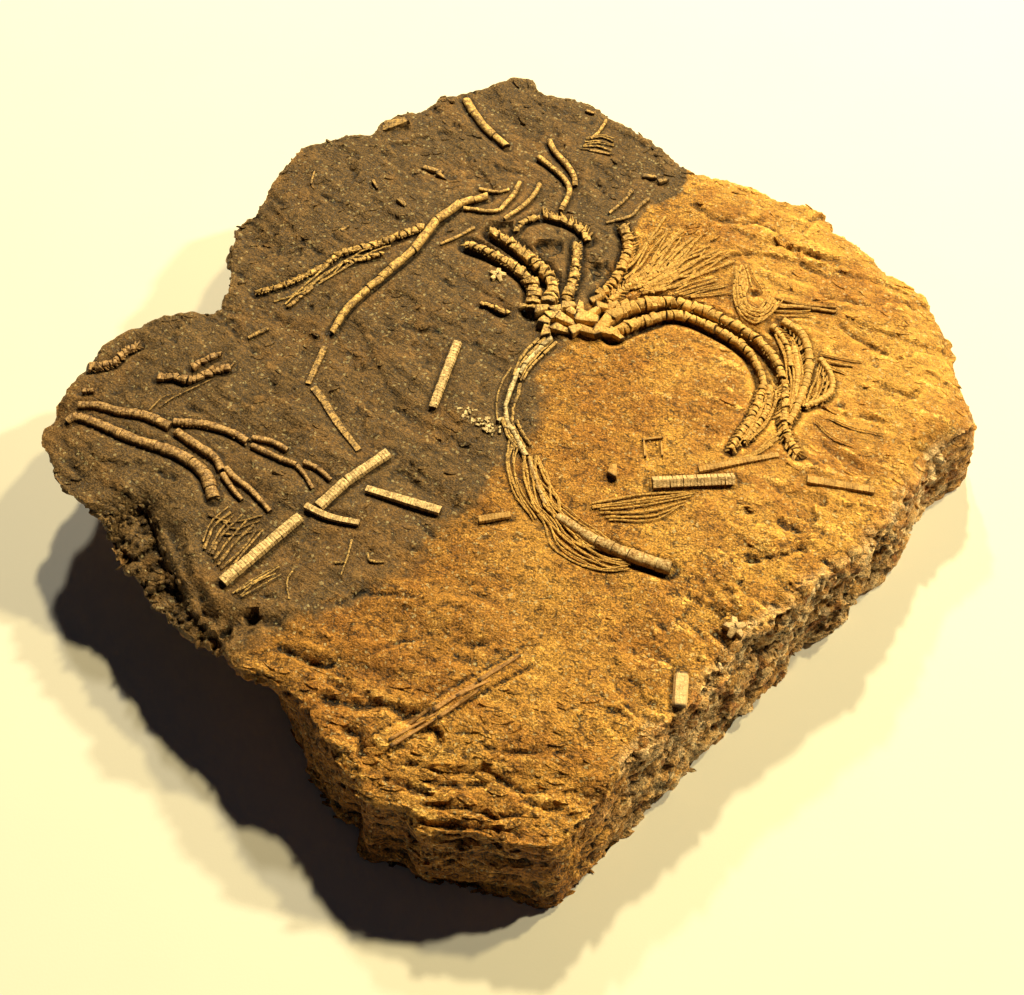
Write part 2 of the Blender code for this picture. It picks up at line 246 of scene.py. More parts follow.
class Wire:
    """A socket of a node tree. Arithmetic on it adds Math nodes."""

    def __init__(self, graph: "Graph", socket: Any) -> None:
        """Keeps the socket and the graph that it is in."""
        self.graph = graph
        self.socket = socket

    def _math(self, operation: str, *values: Any) -> "Wire":
        """A Math node on these values."""
        return self.graph.node("ShaderNodeMath", {"operation": operation}, *values)

    def __add__(self, other: Any) -> "Wire":
        """The sum."""
        return self._math("ADD", self, other)

    def __radd__(self, other: Any) -> "Wire":
        """The sum, with a number first."""
        return self._math("ADD", other, self)

    def __sub__(self, other: Any) -> "Wire":
        """The difference."""
        return self._math("SUBTRACT", self, other)

    def __rsub__(self, other: Any) -> "Wire":
        """The difference, with a number first."""
        return self._math("SUBTRACT", other, self)

    def __mul__(self, other: Any) -> "Wire":
        """The product."""
        return self._math("MULTIPLY", self, other)

    def __rmul__(self, other: Any) -> "Wire":
        """The product, with a number first."""
        return self._math("MULTIPLY", other, self)

    def ramp(self, low: float, high: float) -> "Wire":
        """Rises smoothly from 0 at low to 1 at high, or falls if high is below low."""
        start, end = min(low, high), max(low, high)
        settings = {"interpolation_type": "SMOOTHSTEP"}
        rise = self.graph.node("ShaderNodeMapRange", settings, self, start, end, 0.0, 1.0)
        return rise if low < high else 1.0 - rise


class Graph:
    """A material's node tree, with its Principled shader and its object coordinates."""

    def __init__(self, name: str) -> None:
        """Makes the material and empties its tree down to the shader."""
        self.material = bpy.data.materials.new(name)
        self.material.use_nodes = True
        self.tree = self.material.node_tree
        self.shader = self.tree.nodes["Principled BSDF"]
        self.place = self.node("ShaderNodeTexCoord", {}, output="Object")

    def node(self, kind: str, settings: dict[str, Any], *inputs: Any, output: Any = 0, **named: Any) -> Wire:
        """Adds a node.

        Args:
            kind: Its type.
            settings: Its own settings, which are set first.
            *inputs: Values or wires for its sockets, in order. None leaves a socket alone.
            output: The name or number of the socket that is returned.
            **named: Values or wires by socket name, with _ for a space.

        Returns:
            The output.
        """
        node = self.tree.nodes.new(kind)
        for name, value in settings.items():
            setattr(node, name, value)
        for i, value in enumerate(inputs):
            self._set(node.inputs[i], value)
        for name, value in named.items():
            self._set(node.inputs[name.replace("_", " ")], value)
        return Wire(self, node.outputs[output])

    def _set(self, socket: Any, value: Any) -> None:
        """Links or sets one socket."""
        if isinstance(value, Wire):
            self.tree.links.new(value.socket, socket)
        elif isinstance(value, tuple) and socket.type == "RGBA":
            socket.default_value = (*value[:3], 1.0)
        elif value is not None:
            socket.default_value = value

    def noise(self, size: float, detail: float = 3.0, rough: float = 0.55, place: Wire | None = None) -> Wire:
        """Noise with features about this many millimetres wide, about 0 to 1."""
        return self.node(
            "ShaderNodeTexNoise", {}, Vector=place or self.place, Scale=1 / (size * MM), Detail=detail,
            Roughness=rough, output="Fac",
        )

    def cells(self, size: float, feature: str = "F1", place: Wire | None = None) -> Wire:
        """The distance in a cell pattern with cells this many millimetres wide."""
        return self.node(
            "ShaderNodeTexVoronoi", {"feature": feature}, Vector=place or self.place, Scale=1 / (size * MM),
            output="Distance",
        )

    def facets(self, size: float, place: Wire | None = None) -> Wire:
        """Small flat facets, each tilted its own way, about -0.5 to 0.5."""
        place = place or self.place
        cell = self.tree.nodes.new("ShaderNodeTexVoronoi")
        self._set(cell.inputs["Vector"], place)
        self._set(cell.inputs["Scale"], 1 / (size * MM))
        centre, hue = Wire(self, cell.outputs["Position"]), Wire(self, cell.outputs["Color"])
        away = self.node("ShaderNodeVectorMath", {"operation": "SUBTRACT"}, place, centre)
        tilt = self.node("ShaderNodeVectorMath", {"operation": "SUBTRACT"}, hue, (0.5, 0.5, 0.5))
        rise = self.node("ShaderNodeVectorMath", {"operation": "DOT_PRODUCT"}, away, tilt, output="Value")
        return rise * (1 / (size * MM))

    def specks(self, size: float, share: float) -> Wire:
        """1 on this share of small cells and 0 on the rest."""
        cell = self.node(
            "ShaderNodeTexVoronoi", {}, Vector=self.place, Scale=1 / (size * MM), output="Color",
        )
        hue = self.node("ShaderNodeSeparateColor", {}, cell)
        return hue.ramp(1 - share, 1 - share * 0.8)

    def dashes(self, size: float, width: float, place: Wire, mask: Wire) -> Wire:
        """Short fine cracks: the borders of cells, broken up by a mask."""
        border = self.cells(size, "DISTANCE_TO_EDGE", place)
        return border.ramp(width, width * 0.25) * mask

    def stretched(self, turn: float, along: float) -> Wire:
        """The object coordinates drawn out along a bearing, so that patterns run long there."""
        return self.node(
            "ShaderNodeMapping", {"vector_type": "TEXTURE"}, Vector=self.place,
            Rotation=(0.0, 0.0, math.radians(turn)), Scale=(along, 1.0, 1.0),
        )

    def attribute(self, name: str) -> Wire:
        """A number stored on the mesh's points."""
        return self.node("ShaderNodeAttribute", {"attribute_name": name}, output="Fac")

    def blend(self, share: Any, first: Any, second: Any, mode: str = "MIX") -> Wire:
        """Mixes two colours by a share."""
        settings = {"data_type": "RGBA", "blend_type": mode, "clamp_factor": True}
        node = self.tree.nodes.new("ShaderNodeMix")
        for key, value in settings.items():
            setattr(node, key, value)
        for name, value in (("Factor_Float", share), ("A_Color", first), ("B_Color", second)):
            self._set(next(s for s in node.inputs if s.identifier == name), value)
        return Wire(self, next(s for s in node.outputs if s.identifier == "Result_Color"))

    def shaded(self, colour: Any, amount: Wire) -> Wire:
        """A colour made lighter or darker by a number."""
        grey = self.node("ShaderNodeCombineColor", {}, amount, amount, amount)
        return self.blend(1.0, colour, grey, "MULTIPLY")

    def bump(self, height: Wire, depth: float) -> Wire:
        """A bump this many millimetres deep."""
        return self.node(
            "ShaderNodeBump", {}, Strength=1.0, Distance=depth * MM, Height=height, output="Normal",
        )

    def finish(self, colour: Wire, roughness: Any, normal: Wire, specular: float) -> bpy.types.Material:
        """Feeds the shader and returns the material."""
        self._set(self.shader.inputs["Base Color"], colour)
        self._set(self.shader.inputs["Roughness"], roughness)
        self._set(self.shader.inputs["Normal"], normal)
        self._set(self.shader.inputs["Specular IOR Level"], specular)
        return self.material


# --------------------------------------------------------------------------- meshes


def vertex_array(mesh: bpy.types.Mesh, what: str = "co") -> np.ndarray:
    """A mesh's points, or its normals, as N by 3 numbers."""
    values = np.empty(len(mesh.vertices) * 3, np.float32)
    mesh.vertices.foreach_get(what, values)
    return values.reshape(-1, 3).astype(float)


def set_vertices(mesh: bpy.types.Mesh, points: np.ndarray) -> None:
    """Moves a mesh's points."""
    mesh.vertices.foreach_set("co", np.ascontiguousarray(points, np.float32).ravel())
    mesh.update()


def store(mesh: bpy.types.Mesh, name: str, values: np.ndarray) -> None:
    """Keeps one number per point for the material to read."""
    attribute = mesh.attributes.new(name, "FLOAT", "POINT")
    attribute.data.foreach_set("value", np.ascontiguousarray(values, np.float32))


def deselect() -> None:
    """Deselects every object."""
    bpy.ops.object.select_all(action="DESELECT")


def make_active(obj: bpy.types.Object) -> None:
    """Selects one object alone."""
    deselect()
    obj.select_set(True)
    bpy.context.view_layer.objects.active = obj


def select_where(obj: bpy.types.Object, kind: str, keep: Callable[[Any], bool]) -> None:
    """Selects the faces or edges of an object that a test keeps, and leaves it in edit mode.

    Args:
        obj: The object, which is active.
        kind: "FACE" or "EDGE".
        keep: The test, given a face or the middle of an edge.
    """
    bpy.ops.object.mode_set(mode="EDIT")
    bpy.ops.mesh.select_mode(type=kind)
    bpy.ops.mesh.select_all(action="DESELECT")
    bpy.ops.object.mode_set(mode="OBJECT")
    mesh = obj.data
    if kind == "FACE":
        for face in mesh.polygons:
            face.select = keep(face)
    else:
        for edge in mesh.edges:
            ends = [mesh.vertices[i].co for i in edge.vertices]
            edge.select = keep((ends[0] + ends[1]) / 2)
    bpy.ops.object.mode_set(mode="EDIT")


def place_piece(
    piece: bpy.types.Object, name: str, material: bpy.types.Material, nodes: Iterable[str] = (),
) -> None:
    """Names and dresses a finished piece and ties it to the frame.

    Args:
        piece: The object.
        name: Its name.
        material: Its finish.
        nodes: The CAD nodes that it stands for.
    """
    piece.name = piece.data.name = name
    piece.data.materials.clear()
    piece.data.materials.append(material)
    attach(piece, BODY)
    if nodes:
        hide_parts(*nodes)
    LOG.info("%s: %d faces", name, len(piece.data.polygons))


# --------------------------------------------------------------------------- the slab's form


@dataclass(frozen=True)
class SlabForm:
    """The slab's outline and heights, in millimetres."""

    height: float = 44.0
    rim_chip: float = 1.6
    rim: Route = (
        (-1, 166), (9, 164), (16, 158), (32, 152), (44, 142), (52, 135), (63, 125), (72, 115), (90, 106),
        (100, 105), (105, 99), (114, 98), (124, 93), (126, 84), (138, 77), (143, 69), (150, 63), (159, 55),
        (161, 45), (163, 36), (164, 20), (166, 11), (169, 3), (169, -4), (162, -9), (151, -17), (147, -23),
        (140, -34), (133, -45), (123, -52), (121, -58), (114, -64), (102, -71), (94, -80), (79, -89),
        (70, -99), (65, -104), (57, -116), (42, -125), (36, -132), (32, -138), (27, -145), (20, -153),
        (15, -159), (10, -160), (-5, -156), (-18, -155), (-28, -153), (-34, -147), (-46, -145), (-49, -133),
        (-54, -131), (-61, -123), (-68, -111), (-79, -104), (-90, -101), (-97, -94), (-105, -90),
        (-115, -81), (-122, -75), (-126, -66), (-136, -54), (-141, -47), (-152, -38), (-157, -35),
        (-163, -24), (-167, -12), (-165, -4), (-164, 7), (-159, 13), (-156, 22), (-149, 31), (-142, 36),
        (-132, 43), (-119, 45), (-112, 45), (-108, 56), (-110, 70), (-107, 87), (-99, 97), (-95, 109),
        (-85, 127), (-66, 134), (-57, 134), (-54, 142), (-39, 148), (-27, 157), (-12, 162),
    )
    undercut: Route = (
        (-180, 34), (-165, 40), (-150, 40), (-136, 26), (-127, 4), (-120, -7), (-113, -8), (-106, -7),
        (-97, -5), (-88, -7), (-79, -8), (-72, -11), (-65, -6), (-57, -9), (-48, -9), (-39, -4), (-30, -5),
        (-20, -2), (-11, -5), (3, -5), (12, 0), (25, 8), (60, 7), (90, 9), (130, 14), (155, 22), (180, 34),
    )
    wall_shares: tuple[float, ...] = (0.0, 0.16, 0.42, 0.72, 1.0)
    undercut_kept: tuple[float, ...] = (1.0, 0.93, 0.62, 0.25, 0.0)
    ledge_radius: float = 129.0
    ledge_run: float = 5.0
    ledge_drop: float = 7.0
    ledge_bearings: Point = (-166.0, -134.0)
    ledge_fade: float = 5.0
    front_start: float = -118.0
    front_end: float = -162.0
    front_drop: float = 5.0
    shoulder_drop: float = 5.0
    shoulder_start: float = 0.90
    shoulder_bearings: tuple[Point, Point] = ((-24.0, -8.0), (42.0, 24.0))

    def rim_radius(self, bearing: np.ndarray) -> np.ndarray:
        """How far out the rim is at each bearing in degrees, on straight runs between its points."""
        points = np.array(self.rim, float)
        angles = np.degrees(np.arctan2(points[:, 1], points[:, 0]))
        points = points[np.argsort(angles)]
        at = np.searchsorted(np.sort(angles), bearing) - 1
        near, far = points[at], points[(at + 1) % len(points)]
        way = np.stack([np.cos(np.radians(bearing)), np.sin(np.radians(bearing))], axis=1)
        run = far - near
        cross = near[:, 0] * run[:, 1] - near[:, 1] * run[:, 0]
        return cross / (way[:, 0] * run[:, 1] - way[:, 1] * run[:, 0])

    def ledge_share(self, x: np.ndarray, y: np.ndarray) -> np.ndarray:
        """1 on the sunk ledge and 0 off it."""
        bearing = np.degrees(np.arctan2(y, x))
        low, high = self.ledge_bearings
        share = smooth_step(bearing, low, low + self.ledge_fade) * smooth_step(
            bearing, high, high - self.ledge_fade,
        )
        return share * smooth_step(np.hypot(x, y), self.ledge_radius, self.ledge_radius + self.ledge_run)

    def top_height(self, x: np.ndarray, y: np.ndarray) -> np.ndarray:
        """The top's height at each place: a gentle swell, the ledge and the sunk front."""
        front = self.front_drop * smooth_step(y, self.front_start, self.front_end)
        swell = 0.9 * np.sin(x / 41 + 0.6) * np.cos(y / 47) + 0.4 * np.sin((x + y) / 27)
        return self.height + swell - front - self.ledge_drop * self.ledge_share(x, y)

    def wrap(self, ball: np.ndarray, foot_share: float, wall_share: float) -> np.ndarray:
        """Takes the points of a ball onto the slab's plain form.

        Args:
            ball: The ball's points, round the origin.
            foot_share: The share of its rings that make the underside.
            wall_share: The share of its rings below the rim.

        Returns:
            The slab's points.
        """
        rise = 0.5 + np.arcsin(np.clip(ball[:, 2] / np.linalg.norm(ball, axis=1), -1, 1)) / math.pi
        bearing = np.degrees(np.arctan2(ball[:, 1], ball[:, 0]))
        rim = self.rim_radius(bearing)
        undercut = np.interp(bearing, *np.array(self.undercut).T)
        up = np.clip((rise - foot_share) / (wall_share - foot_share), 0, 1)
        wall = rim - undercut * np.interp(up, self.wall_shares, self.undercut_kept)
        foot = (rim - undercut) * rise / foot_share
        across = np.clip((1 - rise) / (1 - wall_share), 0, 1)
        reach = np.select([rise < foot_share, rise <= wall_share], [foot, wall], rim * across)
        x, y = reach * np.cos(np.radians(bearing)), reach * np.sin(np.radians(bearing))
        near, far = self.shoulder_bearings
        shoulder = self.shoulder_drop * smooth_step(bearing, *near) * smooth_step(bearing, *far)
        top = self.top_height(x, y) - self.rim_chip * smooth_step(across, 0.985, 1.0)
        top -= shoulder * smooth_step(across, self.shoulder_start, 1.0)
        return np.stack([x, y, np.where(rise > wall_share, top, up * top)], axis=1)


@dataclass(frozen=True)
class Hollow:
    """A pit in the top: its middle, its radius and its depth."""

    x: float
    y: float
    radius: float
    depth: float


@dataclass(frozen=True)
class Crack:
    """A crack or a furrow: its line, half its width and its depth, which is below 0 for a ridge."""

    line: Route
    half_width: float
    depth: float


@dataclass(frozen=True)
class StoneFinish:
    """The stone's colours."""

    slate: Colour = (0.080, 0.046, 0.016)
    slate_pale: Colour = (0.168, 0.100, 0.037)
    ochre: Colour = (0.66, 0.345, 0.066)
    ochre_deep: Colour = (0.42, 0.185, 0.031)
    umber: Colour = (0.27, 0.108, 0.017)
    ochre_pale: Colour = (0.88, 0.55, 0.15)
    rubble: Colour = (0.72, 0.48, 0.22)
    earth: Colour = (0.50, 0.27, 0.085)
    flint: Colour = (0.82, 0.62, 0.35)
    rust: Colour = (0.28, 0.085, 0.018)
    glint: Colour = (0.95, 0.80, 0.42)
    dark: Colour = (0.016, 0.008, 0.003)
    specular: float = 0.35

    def material(self) -> bpy.types.Material:
        """Builds the stone: two colours that meet, flakes, grain, painted highlights on the crests and facet
        tops, painted shade in the hollows, cracks and furrows, and painted glints.
        """
        if "siltstone_surface" in bpy.data.materials:
            return bpy.data.materials["siltstone_surface"]
        g = Graph("siltstone_surface")
        streaked = g.stretched(-14.0, 3.2)
        coarse, fine = g.facets(2.6, streaked), g.facets(1.0)
        grain = g.noise(0.7, 2.0, 0.8).ramp(0.38, 0.62)
        broken = g.noise(3.0, 2.0, 0.5).ramp(0.53, 0.60)
        dash = g.dashes(2.0, 0.11, streaked, broken)
        brushed = g.noise(1.3, 2.0, 0.6, g.stretched(-38.0, 5.0)) - 0.5
        creases = g.dashes(5.0, 0.045, g.stretched(-16.0, 2.6), g.noise(6.0, 2.0, 0.6).ramp(0.54, 0.62))
        blotch = g.noise(7.0, 3.0, 0.65)
        patch = g.noise(30.0, 3.0, 0.6)
        share = (g.attribute("ochre") + (blotch - 0.5) * 1.1).ramp(0.25, 0.75)
        slate = g.blend((grain * 0.4 + blotch * 0.6).ramp(0.36, 0.70), self.slate, self.slate_pale)
        slate = g.blend((patch * 0.6 + blotch * 0.4).ramp(0.46, 0.62) * 0.16, slate, self.ochre_deep)
        ochre = g.blend((patch * 0.6 + blotch * 0.4).ramp(0.38, 0.60), self.ochre_deep, self.ochre)
        ochre = g.blend(g.attribute("deep") * (0.45 + 0.5 * blotch), ochre, self.umber)
        # Pale streaks: mostly the ochre's own tone, a little paler on the crests and facet tops, which is
        # painted highlight.
        pale = g.noise(4.0, 3.0, 0.6, streaked) * 0.7 + fine * 0.3 + g.attribute("crest") * 0.12
        ochre = g.blend(pale.ramp(0.40, 0.60) * (0.8 - 0.5 * g.attribute("deep")), ochre, self.ochre_pale)
        stone = g.blend(share, slate, ochre)
        crumbs = g.blend(blotch.ramp(0.42, 0.58), self.rubble, self.earth)
        crumbs = g.blend(patch.ramp(0.50, 0.60) * 0.4, crumbs, self.rust)
        crumbs = g.blend(g.specks(5.0, 0.16) * 0.7, crumbs, self.rust)
        crumbs = g.blend(g.specks(3.6, 0.30) * 0.8, crumbs, self.flint)
        stone = g.blend(g.attribute("wall") * 0.42, stone, self.rust)
        stone = g.blend(g.attribute("broken") * 0.9, stone, crumbs)
        bedded = g.node(
            "ShaderNodeMapping", {"vector_type": "TEXTURE"}, Vector=g.place, Scale=(4.0, 4.0, 0.5),
        )
        beds = g.noise(2.2, 3.0, 0.6, bedded).ramp(0.5, 0.6) * g.attribute("wall")
        even = 1 - 0.4 * g.attribute("east")
        calm = even * (0.5 + 0.5 * share)
        # lit is painted light and shade mixed with tone: the higher side of each small facet is brighter,
        # beside the grain's and brushed streaks' own tone.
        lit = 0.72 + (0.54 * (grain - 0.5) + 0.85 * fine) * calm + 0.42 * coarse + brushed * (
            1.0 - 0.5 * share
        )
        # Painted shade in the hollows, weaker on the broken rim and the right side, and painted highlight on
        # the crests; the bedding lines are the walls' own darker tone.
        shadow = g.attribute("hollow") * (0.75 - 0.3 * g.attribute("broken") - 0.3 * g.attribute("east"))
        lit = lit + 0.45 * g.attribute("crest") - shadow - 0.35 * beds
        stone = g.shaded(stone, lit.ramp(-0.35, 1.55) * 1.75)
        # Painted glints: small pale specks in the glint colour.
        stone = g.blend(g.specks(0.8, 0.04) * (0.25 + 0.1 * share), stone, self.glint)
        # Painted shade: fine cracks and creases drawn as near-black lines in the colour only.
        stone = g.blend(dash * (0.25 + 0.45 * share) * even, stone, self.dark)
        stone = g.blend(creases * (0.2 + 0.5 * g.attribute("flaky")), stone, self.dark)
        # Painted shade in the furrows beside the fossils.
        stone = g.blend(g.attribute("moat") * 0.45, stone, self.dark)
        height = coarse * 0.7 + (fine * 0.6 + grain * 0.26) * calm + brushed * 0.5
        return g.finish(stone, 0.5 + 0.35 * grain, g.bump(height, 1.0), self.specular)


@dataclass(frozen=True)
class Terraces:
    """Steps in the slab's top: their range, bearing, length, width, octaves, step height and sharpness."""

    span: float
    bearing: float
    along: float
    across: float
    octaves: int
    step: float
    sharpness: float

    def relief(self, noise: Noise, points: np.ndarray) -> np.ndarray:
        """The stepped heights at these places, in millimetres."""
        streaks = noise.streaks(points, self.bearing, self.along, self.across, self.octaves)
        return terraced(self.span * streaks, self.step, self.sharpness)


@dataclass
class Slab:
    """The slab of stone: its broken walls, its layered top and everything cut into it."""

    form: SlabForm
    courses: list[tuple[np.ndarray, float, float]]
    finish: StoneFinish = field(default_factory=StoneFinish)
    seed: int = 11
    ball_turns: int = 360
    ball_rings: int = 100
    foot_share: float = 0.16
    wall_share: float = 0.36
    coarse_voxel: float = 2.0
    fine_voxel: float = 1.22
    seam: Route = (
        (71, 118), (68, 103), (54, 95), (43.5, 77.5), (33, 53), (21.5, 30), (10, 12), (12, -1), (6.5, -18),
        (-4, -26), (-14.5, -42), (-28, -54), (-37.5, -67), (-53.5, -76.5), (-69.5, -83.5), (-85.5, -91),
        (-91, -104),
    )
    gully: Route = (
        (-129, -33), (-122, -42.5), (-115.5, -52.5), (-111, -63.5), (-105, -74), (-100.5, -81), (-96, -85),
        (-86, -83.5), (-78, -84),
    )
    hollows: tuple[Hollow, ...] = (
        Hollow(-96, -88.5, 3.6, 3.4), Hollow(-86, -82, 3.0, 2.6), Hollow(49.5, -19, 2.4, 0.6),
        Hollow(14, 73, 5.6, 2.6), Hollow(33.5, 63, 5.0, 2.0), Hollow(-2.5, 83.5, 4.4, 2.6), Hollow(
            5, 67.5, 2.8, 1.8,
        ),
        Hollow(91.5, 52, 2.6, 1.8), Hollow(85, 70, 2.4, 1.2),
    )
    cracks: tuple[Crack, ...] = (
        Crack(((119, 42.5), (126.5, 33.5), (134.5, 27.5), (145, 20.5)), 1.0, 1.6),
        Crack(((114, 50.5), (127, 49.5), (138, 45)), 0.9, 1.4),
        Crack(((111.5, -5.5), (120, -9), (128, -11)), 0.9, 1.2),
        Crack(((111.5, 24.5), (120, 21.5), (126.5, 20.5)), 0.8, 1.0),
        Crack(((133.5, 7.5), (141, 4), (149, 9.5)), 0.9, 1.2),
        Crack(((64, 75.5), (78.5, 70.5), (93, 71.5)), 1.2, 1.4),
        Crack(((69, 99.5), (78, 89.5), (90.5, 86), (100.5, 89.5)), 1.3, 1.6),
        Crack(((130, 94.5), (118, 89.5), (111, 79.5)), 1.2, 1.4),
        Crack(((-68.5, -96.5), (-55, -103), (-50, -108)), 1.2, 1.6),
        Crack(((-64, -110), (-50, -113), (-41, -112.5), (-33, -117), (-23, -114)), 1.8, 3.0),
        Crack(((-60, -104), (-55, -107.5), (-44, -110)), 1.2, 1.8),
        Crack(((-20, -91), (-13, -92.5), (-6, -91)), 0.9, 1.0),
        Crack(((-38, -131), (-24, -134), (-8, -134.5), (4, -141), (14, -139)), 0.9, 2.0),
        Crack(((-30, -144), (-14, -146), (-5, -148.5), (6, -147)), 0.9, 2.2),
        Crack(((2, -142), (10, -146), (20, -145)), 1.0, 2.2),
        Crack(((-42, -136), (-30, -140), (-22, -143)), 1.0, 2.0),
        Crack(((-12, -126), (0, -129), (12, -128), (22, -131)), 0.7, 1.4),
        Crack(((-30, -137), (-16, -139), (-6, -138)), 0.7, 1.5),
        Crack(((-52, -73), (-42, -74), (-30, -75)), 0.8, 1.0),
        Crack(((-70, -80), (-56, -77), (-46, -70)), 0.9, 1.0),
        Crack(((109, -28), (116.5, -38), (128, -43)), 1.0, 1.4),
        Crack(((76, -62), (90, -60), (101, -55)), 1.0, 1.2),
        Crack(((-164, -3), (-146, 6), (-126, 12)), 0.9, 0.7),
        Crack(((-119, 45), (-112, 40), (-103, 35), (-92, 22), (-84, 6)), 1.2, 0.8),
        Crack(((97.5, 46), (108, 45), (121, 43)), 0.6, -0.7),
        Crack(((-54, -120), (-48.5, -123.5), (-46, -129), (-47, -133)), 1.8, 3.4),
        Crack(((-32, -120.5), (-24, -121.5), (-21.5, -127)), 1.2, 2.4),
        Crack(((-47, -96), (-36, -91), (-24, -88)), 0.9, 1.2),
        Crack(((-78, -92), (-66, -98), (-56, -99.5)), 1.1, 1.6),
        Crack(((96, 78), (112, 72), (126, 64)), 0.9, 1.3),
        Crack(((-36, -149), (-22, -151), (-7, -152), (5, -155)), 1.1, 3.0),
        Crack(((86, 92), (100, 84), (112, 66), (124, 58)), 0.8, 1.2),
        Crack(((104, 4), (118, 2), (134, -6)), 0.8, 1.1),
    )
    impression: Route = ((-43, -127), (-18, -110.5), (8, -94.5))
    impression_half: float = 2.9
    block_share: float = 0.36
    crisp_angle: float = 34.0
    triangle_limit: int = 196_000
    east_rows: Terraces = Terraces(3.0, -24.0, 80.0, 16.0, 3, 1.0, 0.97)
    swale_rows: Terraces = Terraces(3.0, -16.0, 36.0, 10.0, 3, 0.7, 0.94)
    plain_rows: Terraces = Terraces(2.2, -40.0, 44.0, 17.0, 4, 0.6, 0.96)
    front_rows: Terraces = Terraces(2.3, -14.0, 46.0, 14.0, 4, 0.7, 0.96)
    corner_rows: Terraces = Terraces(4.6, -38.0, 30.0, 12.0, 3, 1.2, 0.97)
    foot_height: float = 0.9
    box_gap: float = 0.05
    mark_rounds: int = 10
    noise: Noise = field(init=False)
    room: tuple[np.ndarray, np.ndarray] = field(init=False)
    skin: "StoneSkin" = field(init=False)

    def __post_init__(self) -> None:
        """Makes the noise that breaks the stone."""
        self.noise = Noise(self.seed)

    def build(self) -> bpy.types.Object:
        """Models the slab and dresses it.

        Returns:
            The finished piece.
        """
        rock = self._blank()
        self._remesh(rock, self.coarse_voxel)
        self._break_walls(rock)
        self._remesh(rock, self.fine_voxel)
        self._carve(rock)
        self._mark(rock)
        self._close_underside(rock)
        self._thin(rock)
        bpy.ops.object.shade_smooth_by_angle(angle=math.radians(self.crisp_angle))
        place_piece(rock, "slab_stone", self.finish.material(), ["matrix_slab"])
        return rock

    def _blank(self) -> bpy.types.Object:
        """A ball wrapped onto the slab's plain form."""
        deselect()
        bpy.ops.mesh.primitive_uv_sphere_add(segments=self.ball_turns, ring_count=self.ball_rings, radius=1.0)
        rock = bpy.context.object
        ball = vertex_array(rock.data)
        set_vertices(rock.data, self.form.wrap(ball, self.foot_share, self.wall_share) * MM)
        return rock

    def _remesh(self, rock: bpy.types.Object, voxel: float) -> None:
        """Gives the rock even faces of one size."""
        make_active(rock)
        rock.data.remesh_voxel_size = voxel * MM
        rock.data.use_remesh_fix_poles = False
        rock.data.use_remesh_preserve_volume = True
        bpy.ops.object.voxel_remesh()

    def _wallness(self, points: np.ndarray, normals: np.ndarray) -> np.ndarray:
        """1 on the walls and 0 on the top and the underside."""
        upright = smooth_step(np.abs(normals[:, 2]), 0.86, 0.55)
        rim = self.form.rim_radius(np.degrees(np.arctan2(points[:, 1], points[:, 0])))
        near = smooth_step(rim - np.hypot(points[:, 0], points[:, 1]), 6.0, 2.0)
        under = smooth_step(points[:, 2], 38.0, 32.0)
        return np.maximum(upright * np.maximum(near, under), 0.0)

    def _break_walls(self, rock: bpy.types.Object) -> None:
        """Breaks the walls into beds, blocks and bites out of the rim."""
        points, normals = vertex_array(rock.data) / MM, vertex_array(rock.data, "normal")
        wall = self._wallness(points, normals)
        flat = np.stack([points[:, 0] / 30, points[:, 1] / 30, points[:, 2] / 4.2], axis=1)
        beds = terraced(3.4 * self.noise.layered(flat, 1.0, 3), 0.9, 0.85)
        border, own = self.noise.cells(points * (1, 1, 1.7), 11.0)
        blocks = 3.8 * (own - 0.5) - 1.8 * smooth_step(border, 0.16, 0.0)
        bites = self.noise.layered(points * (1, 1, 0.5), 17.0, 3) * 2.6
        push = wall * (beds + blocks * (0.5 + 0.5 * self.broken_share(points)) + bites - 0.6)
        outward = normals * (1, 1, 0.25)
        points = points + outward * push[:, None]
        rim = self.form.rim_radius(np.degrees(np.arctan2(points[:, 1], points[:, 0])))
        inset = rim - np.hypot(points[:, 0], points[:, 1])
        chips = smooth_step(self.noise.layered(points, 10.0, 2), 0.0, 0.55) * smooth_step(inset, 8.0, 1.0)
        points[:, 2] -= 2.4 * chips * smooth_step(points[:, 2], 30.0, 38.0)
        self._hold(points)
        set_vertices(rock.data, points * MM)

    def broken_share(self, points: np.ndarray) -> np.ndarray:
        """1 round the lower right side, where the stone is broken into blocks, and 0 elsewhere."""
        bearing = np.degrees(np.arctan2(points[:, 1], points[:, 0]))
        return smooth_step(bearing, -84.0, -68.0) * smooth_step(bearing, 4.0, -8.0)

    def _hold(self, points: np.ndarray) -> None:
        """Keeps points inside the CAD box, in place."""
        low, high = (np.array(corner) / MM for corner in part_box("matrix_slab"))
        np.clip(points, low + self.box_gap, high - self.box_gap, out=points)

    def _carve(self, rock: bpy.types.Object) -> None:
        """Lays the fine relief on the top and the walls."""
        points, normals = vertex_array(rock.data) / MM, vertex_array(rock.data, "normal")
        wall = self._wallness(points, normals)
        top = smooth_step(normals[:, 2], 0.25, 0.7) * smooth_step(points[:, 2], 24.0, 30.0)
        relief = self._top_relief(points)
        grain = 0.5 * self.noise.layered(points * (1, 1, 2.4), 4.0, 3, 0.6)
        border, own = self.noise.cells(points * (0.7, 0.7, 1.8), 4.6)
        crumbs = 1.3 * (own - 0.5) - 0.6 * smooth_step(border, 0.2, 0.0)
        push = wall * (grain + crumbs * (0.6 + 0.4 * self.broken_share(points)))
        points = points + normals * push[:, None]
        points[:, 2] += top * (1 - 0.6 * wall) * relief
        self._hold(points)
        set_vertices(rock.data, points * MM)

